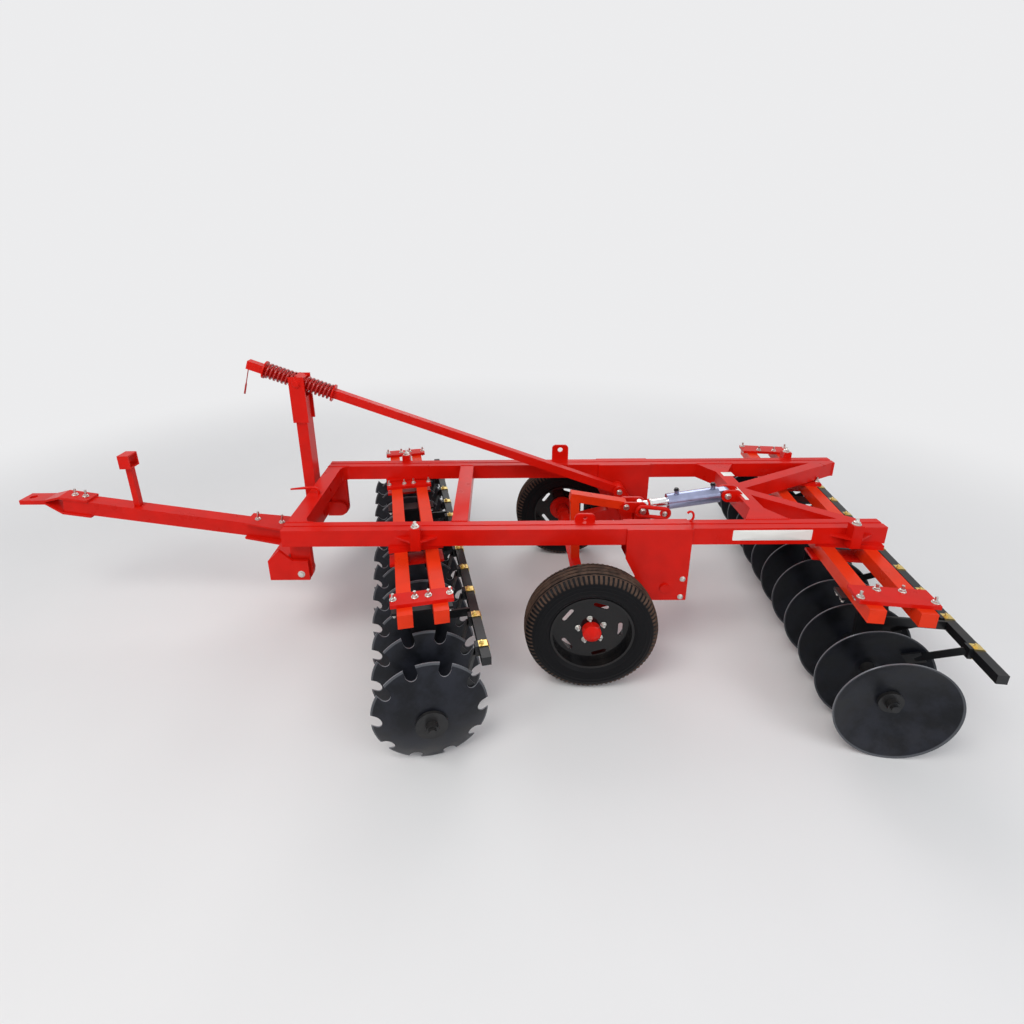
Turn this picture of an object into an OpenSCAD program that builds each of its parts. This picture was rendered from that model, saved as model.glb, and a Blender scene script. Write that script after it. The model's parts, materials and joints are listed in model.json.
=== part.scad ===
// Trailed offset disc harrow with a transport axle.
// Two disc gangs hang under a rigid frame of two beams. A hydraulic cylinder turns the lift,
// which carries the wheels, and a levelling rod keeps the drawbar in step with the lift.
// The hitch points along -X, the left side is -Y, and the ground is at Z = 0.

/* [Frame] */
// Distance from the origin forward to the frame's front face
frame_front = 1028; // [1000:1:1060]
// Height of the beams' top faces above the ground
frame_top = 945; // [925:1:965]
// Side of the square main beams
beam_size = 110; // [100:1:120]
// Distance between the centre lines of the main beams
beam_spacing = 995; // [960:1:1030]
// Length of the left main beam
left_beam_length = 3680; // [3640:1:3720]
// Length of the right main beam
right_beam_length = 3940; // [3900:1:3980]
// Width of the weld groove along the beams' top and bottom
weld_groove_w = 16; // [8:1:24]
// Depth of the weld groove
weld_groove_h = 4; // [2:0.5:6]
// Distance from the frame's front face to the middle cross-member
mid_cross_station = 1090; // [1070:1:1110]
// Width of the middle cross-member
mid_cross_w = 100; // [80:1:110]
// Distance from the frame's front face to the rear cross-member
rear_cross_station = 3010; // [2995:1:3025]
// Width of the rear cross-member
rear_cross_w = 90; // [80:1:100]
// Half length of the rear cross-member's flare along the beams
rear_flare = 138; // [110:1:150]
// Distance from a beam at which the rear cross-member starts to flare
rear_flare_run = 150; // [120:1:180]
// Width of the diagonal braces behind the rear cross-member
brace_w = 80; // [60:1:84]
// Distance from the frame's front face to the left brace's foot
left_brace_station = 3500; // [3470:1:3530]
// Distance from the frame's front face to the right brace's foot
right_brace_station = 3830; // [3800:1:3860]
// Length of the front corner gussets along each side
corner_gusset = 60; // [40:1:80]

/* [Gangs] */
// Distance from the frame's front face to the front gang's middle
front_gang_station = 714; // [700:1:730]
// Distance from the frame's front face to the rear gang's middle
rear_gang_station = 3547; // [3535:1:3560]
// Cutting angle of the front gang
front_gang_angle = 11.5; // [9:0.5:13]
// Cutting angle of the rear gang
rear_gang_angle = 8; // [6:0.5:10]
// Side of the square gang tubes
gang_tube = 80; // [70:1:84]
// Length of the gang tubes
gang_tube_length = 2340; // [2320:1:2380]
// Distance between the front gang's tubes
front_tube_spacing = 188; // [180:1:200]
// Distance between the rear gang's tubes
rear_tube_spacing = 240; // [230:1:250]
// Distance from the gang tubes' ends in to the outer tie plates
tie_inset = 113; // [100:1:125]
// Distance from the frame's middle to the inner tie plates
inner_tie = 390; // [370:1:400]
// Width of the tie plates along the tubes
tie_w = 100; // [80:1:120]
// Width of the rear gang's outer tie plates along the tubes
rear_tie_w = 140; // [120:1:160]
// Thickness of the tie plates
tie_t = 22; // [16:1:28]
// Thickness of the clamp and foot plates
gang_plate_t = 16; // [12:1:20]
// Reach of the plates past the tubes
plate_overhang = 33; // [20:1:40]
// Thickness of the pads between the beams and the gang tubes
pad_t = 30; // [24:1:36]
// Width of the pads and clamp plates along the tubes
clamp_w = 120; // [100:1:140]
// Width of the clamp blocks beside the beams
clamp_block_w = 62; // [56:1:70]
// Depth of the clamp blocks beside the beams
clamp_block_d = 60; // [50:1:70]
// Height of the clamp blocks above the beams
clamp_block_rise = 40; // [30:1:50]

/* [Discs] */
// Diameter of the discs
disc_d = 610; // [590:1:620]
// Thickness of the discs
disc_t = 6; // [5:0.5:8]
// Depth of the discs' dish
disc_dish = 80; // [70:1:90]
// Number of discs on each gang
disc_count = 12; // [12:1:12]
// Distance between discs along the gang axle
disc_spacing = 238; // [232:1:242]
// Number of notches round each front disc
notch_count = 10; // [8:1:12]
// Width of the notches
notch_w = 66; // [50:1:74]
// Depth of the notches from the rim
notch_depth = 60; // [50:1:70]
// Diameter of the gang axles
gang_axle_d = 40; // [36:1:44]
// Diameter of the spools between discs
spool_d = 76; // [70:1:84]
// Diameter of the flat hub in the middle of each disc
disc_hub_d = 130; // [120:1:140]
// Diameter of the bearing housings
bearing_d = 124; // [112:1:136]
// Length of the bearing housings
bearing_w = 84; // [70:1:100]
// Thickness of the hanger arms
hanger_t = 25; // [20:1:30]
// Side of the square scraper bars
scraper_bar = 50; // [44:1:56]
// Height of the scraper bars' middle above the ground
scraper_z = 600; // [590:1:615]
// Distance of the front scraper bar behind its gang's axle
front_scraper_run = 295; // [285:1:305]
// Distance of the rear scraper bar behind its gang's axle
rear_scraper_run = 375; // [365:1:385]
// Reach of the scraper bars past the first scraper, at the discs' domed side
scraper_bar_tail = 100; // [60:1:120]
// Reach of the scraper bars past the last scraper, at the discs' hollow side
scraper_bar_lead = 192; // [170:1:210]

/* [Lift and wheels] */
// Distance from the frame's front face to the lift's pivot
lift_station = 2370; // [2355:1:2385]
// Height of the lift's pivot
lift_z = 535; // [525:1:545]
// Diameter of the tyres
tyre_d = 800; // [790:1:806]
// Width of the tyres
tyre_w = 196; // [180:1:205]
// Diameter of the rim's flanges
rim_d = 510; // [490:1:530]
// Distance between the wheels' middles
wheel_track = 1494; // [1480:1:1520]
// Length of the wheel arms between pivot and axle
arm_length = 506; // [500:1:512]
// Width of the wheel arms
arm_w = 80; // [60:1:84]
// Height of the wheel arms
arm_h = 100; // [80:1:110]
// Diameter of the rockshaft's tube
rockshaft_d = 102; // [90:1:110]
// Diameter of the rockshaft's journals
journal_d = 60; // [50:1:70]
// Side of the square axle
wheel_axle = 80; // [70:1:84]
// Diameter of the wheel spindles
spindle_d = 50; // [44:1:56]
// Thickness of the wheel bracket plates
bracket_t = 12; // [10:1:16]

/* [Cylinder] */
// Distance from the frame's front face to the cylinder's base pin
base_pin_station = 2905; // [2895:1:2915]
// Height of the cylinder's base pin
base_pin_z = 930; // [920:1:940]
// Distance from the frame's front face to the lever pin
lever_pin_station = 2322; // [2312:1:2332]
// Height of the lever pin
lever_pin_z = 840; // [830:1:850]
// Distance of the cylinder to the left of the frame's middle
cylinder_offset = 42; // [36:1:48]
// Diameter of the cylinder's barrel
barrel_d = 110; // [95:1:114]
// Length of the barrel from its base pin
barrel_length = 400; // [385:1:410]
// Diameter of the piston rod
piston_rod_d = 60; // [50:1:64]
// Width of the cylinder's eyes
eye_w = 60; // [50:1:64]
// Diameter of the cylinder's pins
cylinder_pin_d = 30; // [26:1:34]

/* [Drawbar] */
// Distance from the frame's front face back to the drawbar's hinge
hinge_station = 70; // [64:1:76]
// Height of the drawbar's hinge
hinge_z = 600; // [592:1:608]
// Distance from the hinge forward to the hinge beam's rear face
hinge_beam_gap = 95; // [88:1:104]
// Depth of the hinge beam
hinge_beam_d = 110; // [100:1:120]
// Height of the hinge beam
hinge_beam_h = 140; // [130:1:150]
// Side of the square drawbar tube
drawbar_tube_size = 100; // [90:1:108]
// Slope of the drawbar
drawbar_slope = 8.9; // [8:0.1:10]
// Distance from the hinge beam to the front of the drawbar tube
drawbar_length = 1600; // [1580:1:1620]
// Distance from the drawbar tube's front to the middle of the hitch hole
tongue_reach = 240; // [230:1:250]
// Diameter of the hitch hole
hitch_hole_d = 50; // [40:1:56]
// Distance from the hinge beam to the hose post
hose_post_reach = 1100; // [1060:1:1140]

/* [Levelling rod and mast] */
// Distance of the rod and the mast to the right of the frame's middle
rod_offset = 300; // [290:1:310]
// Distance from the frame's front face to the rod's lever pin
rod_pin_station = 2244; // [2234:1:2254]
// Height of the rod's lever pin
rod_pin_z = 799; // [790:1:810]
// Distance the mast stands ahead of the frame
mast_gap = 42; // [40:1:50]
// Depth of the mast tube
mast_d = 80; // [70:1:90]
// Width of the mast tube
mast_w = 124; // [122:1:130]
// Height of the mast tube's top
mast_top = 1560; // [1540:1:1580]
// Height where the rod passes the mast
trunnion_z = 1669; // [1655:1:1685]
// Width of the square rod
rod_size = 60; // [50:1:64]
// Length of the rod past the mast
rod_nose = 375; // [350:1:400]
// Outside diameter of the springs
spring_d = 116; // [108:1:118]
// Diameter of the springs' wire
spring_wire = 14; // [10:1:14]
// Length of each spring
spring_length = 215; // [200:1:230]

/* [Hidden] */
$fn = 64;

cut = 1;
run_gap = 0.5;
weld_gap = 0.2;
red = [0.80, 0.06, 0.03];
orange_red = [0.88, 0.16, 0.03];
steel_black = [0.05, 0.055, 0.065];

// Places of the frame
function sx(station) = station - frame_front;
beam_y = beam_spacing / 2;
beam_half = beam_size / 2;
beam_in = beam_y - beam_half;
beam_out = beam_y + beam_half;
beam_bottom = frame_top - beam_size;
rear_cross_x = sx(rear_cross_station);
rear_cross_front = rear_cross_x - rear_cross_w / 2;
rear_cross_back = rear_cross_x + rear_cross_w / 2;

// Places of the gangs
axis_z = disc_d / 2;
tube_top = beam_bottom - pad_t;
tube_bottom = tube_top - gang_tube;
disc_r = disc_d / 2;
dish_r = (disc_r * disc_r + disc_dish * disc_dish) / (2 * disc_dish);
hub_r = disc_hub_d / 2;
hub_sag = dish_r - sqrt(dish_r * dish_r - hub_r * hub_r);
hub_t = disc_t + hub_sag;
outer_tie = gang_tube_length / 2 - tie_inset;
rim_first = -(disc_count - 1) / 2 * disc_spacing;
front_first = rim_first - disc_dish;
rear_first = rim_first + disc_dish;
hanger_after = [1, 4, 6, 9];
hanger_shift = (disc_dish + disc_t + disc_spacing) / 2;
scraper_reach_share = 0.74;
scraper_turn = 37;
scraper_gap = 10;
scraper_t = 10;
scraper_arm_w = 36;
blade_length = 90;
blade_w = 70;
scraper_lean_share = 0.46;
scraper_clip_w = 46;
scraper_clip_h = 62;
axle_end = 60;
axle_nut_d = 64;
flange_d = disc_hub_d - 6;
dome_flange_d = 165;
dome_flange_t = 16;

// Places of the lift and its wheels
lift_x = sx(lift_station);
wheel_r = tyre_d / 2;
hub_drop = lift_z - wheel_r;
hub_x = lift_x - sqrt(arm_length * arm_length - hub_drop * hub_drop);
wheel_y = wheel_track / 2;
tyre_side_gap = 10;
axle_half = wheel_y - tyre_w / 2 - tyre_side_gap;
lever_pin = [sx(lever_pin_station), lever_pin_z];
rod_pin = [sx(rod_pin_station), rod_pin_z];
lift_pin = [lift_x, lift_z];
axle_pin = [hub_x, wheel_r];
lever_t = 16;
lever_gap = 4;
lever_in = eye_w / 2 + lever_gap;
lever_eye_r = 45;
lever_foot_r = 75;
lever_ear_r = 34;
ear_run = 105;
ear_rise = 12;
ear_pin = lever_pin + [-ear_run, ear_rise];
post_w = 60;
post_lean = 20;
post_drop = 30;
post_top = [hub_x - post_lean, frame_top - post_drop];
strut_h = 60;

// Places of the cylinder
base_pin = [sx(base_pin_station), base_pin_z];
cylinder_run = lever_pin - base_pin;
cylinder_length = norm(cylinder_run);
cylinder_angle = atan2(cylinder_run[1], -cylinder_run[0]);
eye_r = 38;
barrel_back = 50;
barrel_wall = 9;
gland_w = 40;
rod_inside = 130;
clevis_t = 18;

// Places of the drawbar
hinge_x = sx(hinge_station);
hinge_front = hinge_x - hinge_beam_gap;
yoke_x = hinge_front - hinge_beam_d;
hinge_beam_lift = 25;
hinge_beam_z = hinge_z + hinge_beam_lift;
hinge_pin_d = 40;
lug_t = 40;
lug_gap = 10;
lug_w = 130;
lug_lap = 20;
lug_y = beam_in + lug_t / 2 - lug_lap;
hinge_plate_t = 20;
hinge_plate_h = 115;
hinge_tail = 50;
hinge_gusset_h = 75;
hinge_gusset_shares = [0.3, 0.62];
hinge_half = lug_y + lug_t / 2 + lug_gap + hinge_plate_t;
yoke_t = 14;
yoke_length = 340;
yoke_front_w = 150;
yoke_rear_w = 210;
tube_rise = drawbar_tube_size / 2 / cos(drawbar_slope);
strap_t = 16;
strap_w = 120;
strap_hold = 181;
strap_bend = 105;
hitch_nose = 58;
hitch_reach = drawbar_length + tongue_reach;
strap_run = drawbar_length + drawbar_tube_size * sin(drawbar_slope);
hose_post_w = 40;
hose_post_h = 300;
hose_ring_w = 98;
hose_ring_h = 96;
hose_ring_d = 76;
hose_ring_t = 10;

// Places of the mast and the levelling rod
mast_back = sx(0) - mast_gap;
mast_x = mast_back - mast_d / 2;
fork_t = 14;
fork_d = 110;
fork_length = 336;
fork_rise = 48;
rod_run = [mast_x, trunnion_z] - rod_pin;
rod_length = norm(rod_run);
rod_slope = atan2(rod_run[1], -rod_run[0]);
trunnion_l = 60;
trunnion_h = 96;
trunnion_gap = 3;
washer_t = 10;
washer_d = 128;
spring_turns = 7;
spring_seat = 0.3;
rod_eye_r = 42;
rod_lever_in = eye_w / 2 + lever_gap;

// Plate in a vertical plane along X, drawn from an outline in X and Z
module plate_xz(y, t) translate([0, y + t / 2, 0]) rotate([90, 0, 0]) linear_extrude(t) children();

// Round bar along Y
module round_y(at, d, y0, y1)
    translate([at[0], y1, at[1]]) rotate([90, 0, 0]) cylinder(d = d, h = y1 - y0);

// Block between two corners
module block(low, high) translate(low) cube(high - low);

// Outline of a link with two round ends, its sides tangent to both
module link2d(p, q, rp, rq) {
    run = q - p;
    turn = atan2(run[1], run[0]);
    open = acos((rp - rq) / norm(run));
    u = [cos(turn + open), sin(turn + open)];
    v = [cos(turn - open), sin(turn - open)];
    polygon([p + rp * u, p + rp * v, q + rq * v, q + rq * u]);
    translate(p) circle(rp);
    translate(q) circle(rq);
}

// Frame of a gang: X across the tubes, Y along the axle
module on_gang(station, angle) translate([sx(station), 0, 0]) rotate([0, 0, angle]) children();
module on_front() on_gang(front_gang_station, front_gang_angle) children();
module on_rear() on_gang(rear_gang_station, -rear_gang_angle) children();

// Main beam with a weld groove along its top and bottom
module main_beam(y, length) difference() {
    block([sx(0), y - beam_half, beam_bottom], [sx(length), y + beam_half, frame_top]);
    for (z = [beam_bottom, frame_top])
        block([sx(-cut), y - weld_groove_w / 2, z - weld_groove_h],
              [sx(length + cut), y + weld_groove_w / 2, z + weld_groove_h]);
}
module left_beam() color(red) main_beam(-beam_y, left_beam_length);
module right_beam() color(red) main_beam(beam_y, right_beam_length);

// Front crossbeam with rounded gussets in its inner corners
module front_crossbeam() color(red) translate([0, 0, beam_bottom]) linear_extrude(beam_size) {
    translate([sx(0), -beam_in]) square([beam_size, 2 * beam_in]);
    for (side = [-1, 1]) difference() {
        translate([sx(beam_size), side > 0 ? beam_in - corner_gusset : -beam_in])
            square(corner_gusset);
        translate([sx(beam_size) + corner_gusset, side * (beam_in - corner_gusset)]) circle(corner_gusset);
    }
}

module mid_crossmember() color(red)
    block([sx(mid_cross_station) - mid_cross_w / 2, -beam_in, beam_bottom],
          [sx(mid_cross_station) + mid_cross_w / 2, beam_in, frame_top]);

// Rear cross-member, flared where it meets the beams, with the ears of the cylinder's base pin
module rear_crossmember() color(red) {
    translate([rear_cross_x, 0, beam_bottom]) linear_extrude(beam_size) {
        square([rear_cross_w, 2 * beam_in], center = true);
        for (side = [-1, 1]) polygon([
            [-rear_cross_w / 2, side * (beam_in - rear_flare_run)],
            [-rear_flare, side * beam_in],
            [rear_flare, side * beam_in],
            [rear_cross_w / 2, side * (beam_in - rear_flare_run)]
        ]);
    }
    for (side = [-1, 1])
        plate_xz(-cylinder_offset + side * (lever_in + clevis_t / 2), clevis_t)
            link2d(base_pin, [rear_cross_front, base_pin_z], eye_r + lever_gap, eye_r + lever_gap - cut);
    round_y(base_pin, cylinder_pin_d, -cylinder_offset - lever_in - cut, -cylinder_offset + lever_in + cut);
}

// Diagonal braces from the rear cross-member to the beams
module brace(start_y, foot_x, side) {
    run = [foot_x - rear_cross_back, side * beam_in - start_y];
    slope = atan2(run[1], run[0]);
    start = brace_w / 2 / cos(slope);
    foot = brace_w / 2 / abs(sin(slope));
    translate([0, 0, beam_bottom]) linear_extrude(beam_size) polygon([
        [rear_cross_back, start_y - side * start],
        [rear_cross_back, start_y + side * start],
        [foot_x - foot, side * beam_in],
        [foot_x + foot, side * beam_in]
    ]);
}
brace_start_share = 0.6;
brace_start = brace_w * brace_start_share;
module rear_braces() color(red) {
    brace(-brace_start, sx(left_brace_station), -1);
    brace(brace_start, sx(right_brace_station), 1);
}

// Lugs under the front crossbeam that carry the drawbar's hinge
module hinge_lugs() color(red) for (side = [-1, 1]) difference() {
    plate_xz(side * lug_y, lug_t) {
        translate([hinge_x, hinge_z]) circle(lug_w / 2);
        translate([hinge_x - lug_w / 2, hinge_z]) square([lug_w, beam_bottom - hinge_z]);
    }
    round_y([hinge_x, hinge_z], hinge_pin_d + 2 * run_gap, side * lug_y - lug_t, side * lug_y + lug_t);
}

// Plates on both faces of each beam that carry the rockshaft
bracket_back = 140;
bracket_front = 255;
bracket_low = 92;
bracket_nose = 100;
module bracket_outline() polygon([
    [lift_x - bracket_front, frame_top],
    [lift_x + bracket_back, frame_top],
    [lift_x + bracket_back, lift_z - bracket_low],
    [lift_x - bracket_nose, lift_z - bracket_low],
    [lift_x - bracket_front, beam_bottom - bracket_low]
]);
module wheel_brackets() color(red) for (side = [-1, 1])
    for (y = [beam_in - bracket_t / 2, beam_out + bracket_t / 2])
    difference() {
        plate_xz(side * y, bracket_t) bracket_outline();
        round_y(lift_pin, journal_d + 2 * run_gap, side * y - bracket_t, side * y + bracket_t);
    }

// Upright ears on the left beam's inner face and the right beam's outer face, each with a hole for a lock pin
ear_w = 128;
ear_low = 15;
left_ear_top = 44;
right_ear_top = 122;
ear_t = 14;
left_ear_hole_d = 26;
right_ear_hole_d = 40;
left_ear_hole_rise = 18;
right_ear_hole_rise = 82;
left_ear_station = 1875;
right_ear_station = 1825;
ear_corner = 30;
module lock_ears() color(red) for (side = [-1, 1]) difference() {
    top = frame_top + (side > 0 ? right_ear_top : left_ear_top);
    x = sx(side > 0 ? right_ear_station : left_ear_station);
    y = side > 0 ? beam_out + ear_t / 2 : -beam_in + ear_t / 2;
    plate_xz(y, ear_t) {
        z = top - ear_corner;
        translate([x - ear_w / 2, beam_bottom - ear_low]) square([ear_w, z - beam_bottom + ear_low]);
        translate([x - ear_w / 2 + ear_corner, z]) square([ear_w - 2 * ear_corner, ear_corner]);
        for (hand = [-1, 1]) translate([x + hand * (ear_w / 2 - ear_corner), z]) circle(ear_corner);
    }
    hole = frame_top + (side > 0 ? right_ear_hole_rise : left_ear_hole_rise);
    round_y([x, hole], side > 0 ? right_ear_hole_d : left_ear_hole_d, y - ear_t, y + ear_t);
}

// Gang pieces shared by both gangs
module gang_tubes(spacing) for (side = [-1, 1])
    block([side * spacing / 2 - gang_tube / 2, -gang_tube_length / 2, tube_bottom],
          [side * spacing / 2 + gang_tube / 2, gang_tube_length / 2, tube_top]);
module cross_plate(spacing, s, w, z, t) {
    reach = spacing / 2 + gang_tube / 2 + plate_overhang;
    block([-reach, s - w / 2, z], [reach, s + w / 2, z + t]);
}
module tie_plates(spacing, outer_w) for (side = [-1, 1]) {
    cross_plate(spacing, side * inner_tie, tie_w, tube_top, tie_t);
    cross_plate(spacing, side * outer_tie, outer_w, tube_top, tie_t);
}

// Clamps of one gang: a pad under each beam, a plate under the tubes and a block beside the beam
module clamp_set(spacing, angle, station) {
    reach = spacing / 2 + gang_tube / 2 + plate_overhang;
    for (side = [-1, 1]) {
        s = side * beam_y / cos(angle);
        on_gang(station, angle) {
            block([-reach, s - clamp_w / 2, tube_top], [reach, s + clamp_w / 2, beam_bottom]);
            block([-reach, s - clamp_w / 2, tube_bottom - gang_plate_t],
                  [reach, s + clamp_w / 2, tube_bottom]);
        }
        clamp_block(sx(station) - side * tan(angle) * (beam_out + clamp_block_d / 2), side);
    }
}
wing_run = 95;
wing_t = 12;
module clamp_block(x, side) {
    y0 = side > 0 ? beam_out : -beam_out - clamp_block_d;
    block([x - clamp_block_w / 2, y0, beam_bottom],
          [x + clamp_block_w / 2, y0 + clamp_block_d, frame_top + clamp_block_rise]);
    translate([x, side * beam_out, beam_bottom + beam_half]) linear_extrude(wing_t)
        for (hand = [-1, 1]) polygon([
            [hand * clamp_block_w / 2, 0],
            [hand * (clamp_block_w / 2 + wing_run), 0],
            [hand * clamp_block_w / 2, side * clamp_block_d]
        ]);
}

// Hangers: a foot under the tubes, a plate between two discs, a bearing housing and an arm to the scraper bar
hanger_w = 150;
foot_w = 100;
rack_arm_t = 14;
rack_arm_gap = 48;
module hanger(spacing, s, bar_n, hollow) difference() {
    union() {
        cross_plate(spacing, s, foot_w, tube_bottom - gang_plate_t, gang_plate_t);
        translate([0, s + hanger_t / 2, 0]) rotate([90, 0, 0]) linear_extrude(hanger_t) polygon([
            [-hanger_w / 2, tube_bottom - gang_plate_t],
            [hanger_w / 2, tube_bottom - gang_plate_t],
            [bearing_d / 2, axis_z],
            [-bearing_d / 2, axis_z]
        ]);
        round_y([0, axis_z], bearing_d, s - bearing_w / 2, s + bearing_w / 2);
        half = scraper_bar / 2;
        arm = s + hollow * rack_arm_gap;
        block([hanger_w / 4, min(s, arm) - rack_arm_t / 2, scraper_z - half],
              [hanger_w / 4 + rack_arm_t, max(s, arm) + rack_arm_t / 2, scraper_z + half]);
        block([hanger_w / 4, arm - rack_arm_t / 2, scraper_z - half],
              [bar_n - half, arm + rack_arm_t / 2, scraper_z + half]);
    }
    round_y([0, axis_z], spool_d + 2 * run_gap, s - bearing_w, s + bearing_w);
}

// Spherical disc, its hollow side towards +Z, with a flat hub
module disc_outline(notches) difference() {
    circle(disc_r);
    for (i = [0 : notches - 1]) rotate(i * 360 / notches) {
        translate([disc_r - notch_depth + notch_w / 2, 0]) circle(notch_w / 2);
        translate([disc_r - notch_depth + notch_w / 2, -notch_w / 2]) square([notch_depth, notch_w]);
    }
}
module disc(notches) difference() {
    union() {
        intersection() {
            translate([0, 0, dish_r]) difference() {
                sphere(dish_r, $fn = 96);
                sphere(dish_r - disc_t, $fn = 96);
            }
            translate([0, 0, -cut]) linear_extrude(disc_dish + disc_t + disc_t) {
                if (notches > 0) disc_outline(notches);
                else circle(disc_r);
            }
        }
        cylinder(d = disc_hub_d, h = hub_t);
    }
    translate([0, 0, -cut]) cylinder(d = gang_axle_d + 2 * run_gap, h = hub_t + 2 * cut);
}
module disc_row(first, hollow, notches) for (i = [0 : disc_count - 1])
    translate([0, first + i * disc_spacing, axis_z]) rotate([-90 * hollow, 0, 0]) disc(notches);

// Gang axle with a spool between each pair of discs and a flange and nut at each end
module gang_axle(first, hollow) {
    last = first + (disc_count - 1) * disc_spacing;
    low = hollow > 0 ? 0 : -hub_t;
    high = hollow > 0 ? hub_t : 0;
    at = [0, axis_z];
    round_y(at, gang_axle_d, first + low - axle_end, last + high + axle_end);
    for (i = [0 : disc_count - 2])
        round_y(at, spool_d, first + i * disc_spacing + high, first + (i + 1) * disc_spacing + low);
    start_d = hollow > 0 ? dome_flange_d : flange_d;
    end_d = hollow > 0 ? flange_d : dome_flange_d;
    round_y(at, start_d, first + low - dome_flange_t, first + low);
    round_y(at, end_d, last + high, last + high + dome_flange_t);
    round_y(at, axle_nut_d, first + low - axle_end / 2 - dome_flange_t, first + low - dome_flange_t);
    round_y(at, axle_nut_d, last + high + dome_flange_t, last + high + dome_flange_t + axle_end / 2);
}

// Scraper bar behind a gang, and one scraper for each disc but the outermost one that is hollow outwards
module flat_bar(p, q, w, t) {
    run = q - p;
    turn = atan2(run[1], run[0]);
    rise = atan2(run[2], norm([run[0], run[1]]));
    translate(p) rotate([0, -rise, turn]) translate([0, -t / 2, -w / 2]) cube([norm(run), t, w]);
}
function scraper_reach() = disc_r * scraper_reach_share;
function scraper_sag() = dish_r - sqrt(pow(dish_r - disc_t, 2) - pow(scraper_reach(), 2));
function scraper_face(first, hollow, i) = first + i * disc_spacing + hollow * (scraper_sag() + scraper_gap);
function scraper_lean(bar_n) =
    (norm([bar_n - scraper_bar / 2, scraper_z - axis_z]) - scraper_reach()) * scraper_lean_share;
function scraper_hold(first, hollow, i, bar_n) =
    scraper_face(first, hollow, i) + hollow * (scraper_t / 2 + scraper_lean(bar_n));
function scraped(hollow) = [for (i = [0 : disc_count - 2]) hollow > 0 ? i : i + 1];
module scraper_beam(bar_n, first, hollow) {
    half = scraper_bar / 2;
    before = hollow > 0 ? scraper_bar_tail : scraper_bar_lead;
    after = hollow > 0 ? scraper_bar_lead : scraper_bar_tail;
    start = scraper_hold(first, hollow, scraped(hollow)[0], bar_n) - before;
    end = scraper_hold(first, hollow, scraped(hollow)[disc_count - 2], bar_n) + after;
    block([bar_n - half, start, scraper_z - half], [bar_n + half, end, scraper_z + half]);
}
module scraper_set(bar_n, first, hollow) {
    half = scraper_bar / 2;
    reach = scraper_reach();
    tilt = asin(reach / dish_r);
    for (i = scraped(hollow)) {
        face = scraper_face(first, hollow, i);
        tip = [reach * cos(scraper_turn), face + hollow * scraper_t / 2, axis_z + reach * sin(scraper_turn)];
        hold = [bar_n - half - 2 * scraper_t + cut, scraper_hold(first, hollow, i, bar_n), scraper_z];
        flat_bar(hold, tip, scraper_arm_w, scraper_t);
        clip = [2 * scraper_t, scraper_clip_w, scraper_clip_h];
        translate([bar_n - half - 2 * scraper_t, hold[1] - clip[1] / 2, scraper_z - clip[2] / 2]) cube(clip);
        translate(tip) rotate([0, -scraper_turn, 0]) rotate([0, 0, hollow * tilt])
            cube([blade_length, scraper_t, blade_w], center = true);
    }
}
function front_hanger_s() = [for (i = hanger_after) front_first + i * disc_spacing + hanger_shift];
function rear_hanger_s() = [for (i = hanger_after) rear_first + (i + 1) * disc_spacing - hanger_shift];

module front_gang_tubes() color(orange_red) on_front() gang_tubes(front_tube_spacing);
module front_tie_plates() color(red) on_front() tie_plates(front_tube_spacing, tie_w);
module front_clamps() color(red) clamp_set(front_tube_spacing, front_gang_angle, front_gang_station);
module front_hangers() color(steel_black) on_front() for (s = front_hanger_s())
    hanger(front_tube_spacing, s, front_scraper_run, 1);
module front_scraper_bar() color(steel_black) on_front() scraper_beam(front_scraper_run, front_first, 1);
module front_scrapers() color(steel_black) on_front() scraper_set(front_scraper_run, front_first, 1);
module front_discs() color(steel_black) on_front() disc_row(front_first, 1, notch_count);
module front_axle() color(steel_black) on_front() gang_axle(front_first, 1);

module rear_gang_tubes() color(orange_red) on_rear() gang_tubes(rear_tube_spacing);
module rear_tie_plates() color(red) on_rear() tie_plates(rear_tube_spacing, rear_tie_w);
module rear_clamps() color(red) clamp_set(rear_tube_spacing, -rear_gang_angle, rear_gang_station);
module rear_hangers() color(steel_black) on_rear() for (s = rear_hanger_s())
    hanger(rear_tube_spacing, s, rear_scraper_run, -1);
module rear_scraper_bar() color(steel_black) on_rear() scraper_beam(rear_scraper_run, rear_first, -1);
module rear_scrapers() color(steel_black) on_rear() scraper_set(rear_scraper_run, rear_first, -1);
module rear_discs() color(steel_black) on_rear() disc_row(rear_first, -1, 0);
module rear_axle() color(steel_black) on_rear() gang_axle(rear_first, -1);

// Rockshaft with journals in the bracket plates
module rockshaft() color(red) {
    round_y(lift_pin, rockshaft_d, -(beam_in - bracket_t - lever_gap), beam_in - bracket_t - lever_gap);
    round_y(lift_pin, journal_d, -(beam_out + 2 * bracket_t), beam_out + 2 * bracket_t);
}

// Wheel arms between the bracket plates, from the rockshaft's journals to the axle
module wheel_arms() color(red) for (side = [-1, 1]) difference() {
    plate_xz(side * beam_y, arm_w) link2d(lift_pin, axle_pin, arm_h / 2, arm_h / 2 + 10);
    round_y(lift_pin, journal_d + 2 * weld_gap, side * beam_y - arm_w, side * beam_y + arm_w);
    arm_socket(side);
}
arm_turn = asin(hub_drop / arm_length);
module arm_socket(side) translate([hub_x, side * beam_y, wheel_r]) rotate([0, -arm_turn, 0])
    cube([wheel_axle, 2 * arm_w, wheel_axle], center = true);

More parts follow.
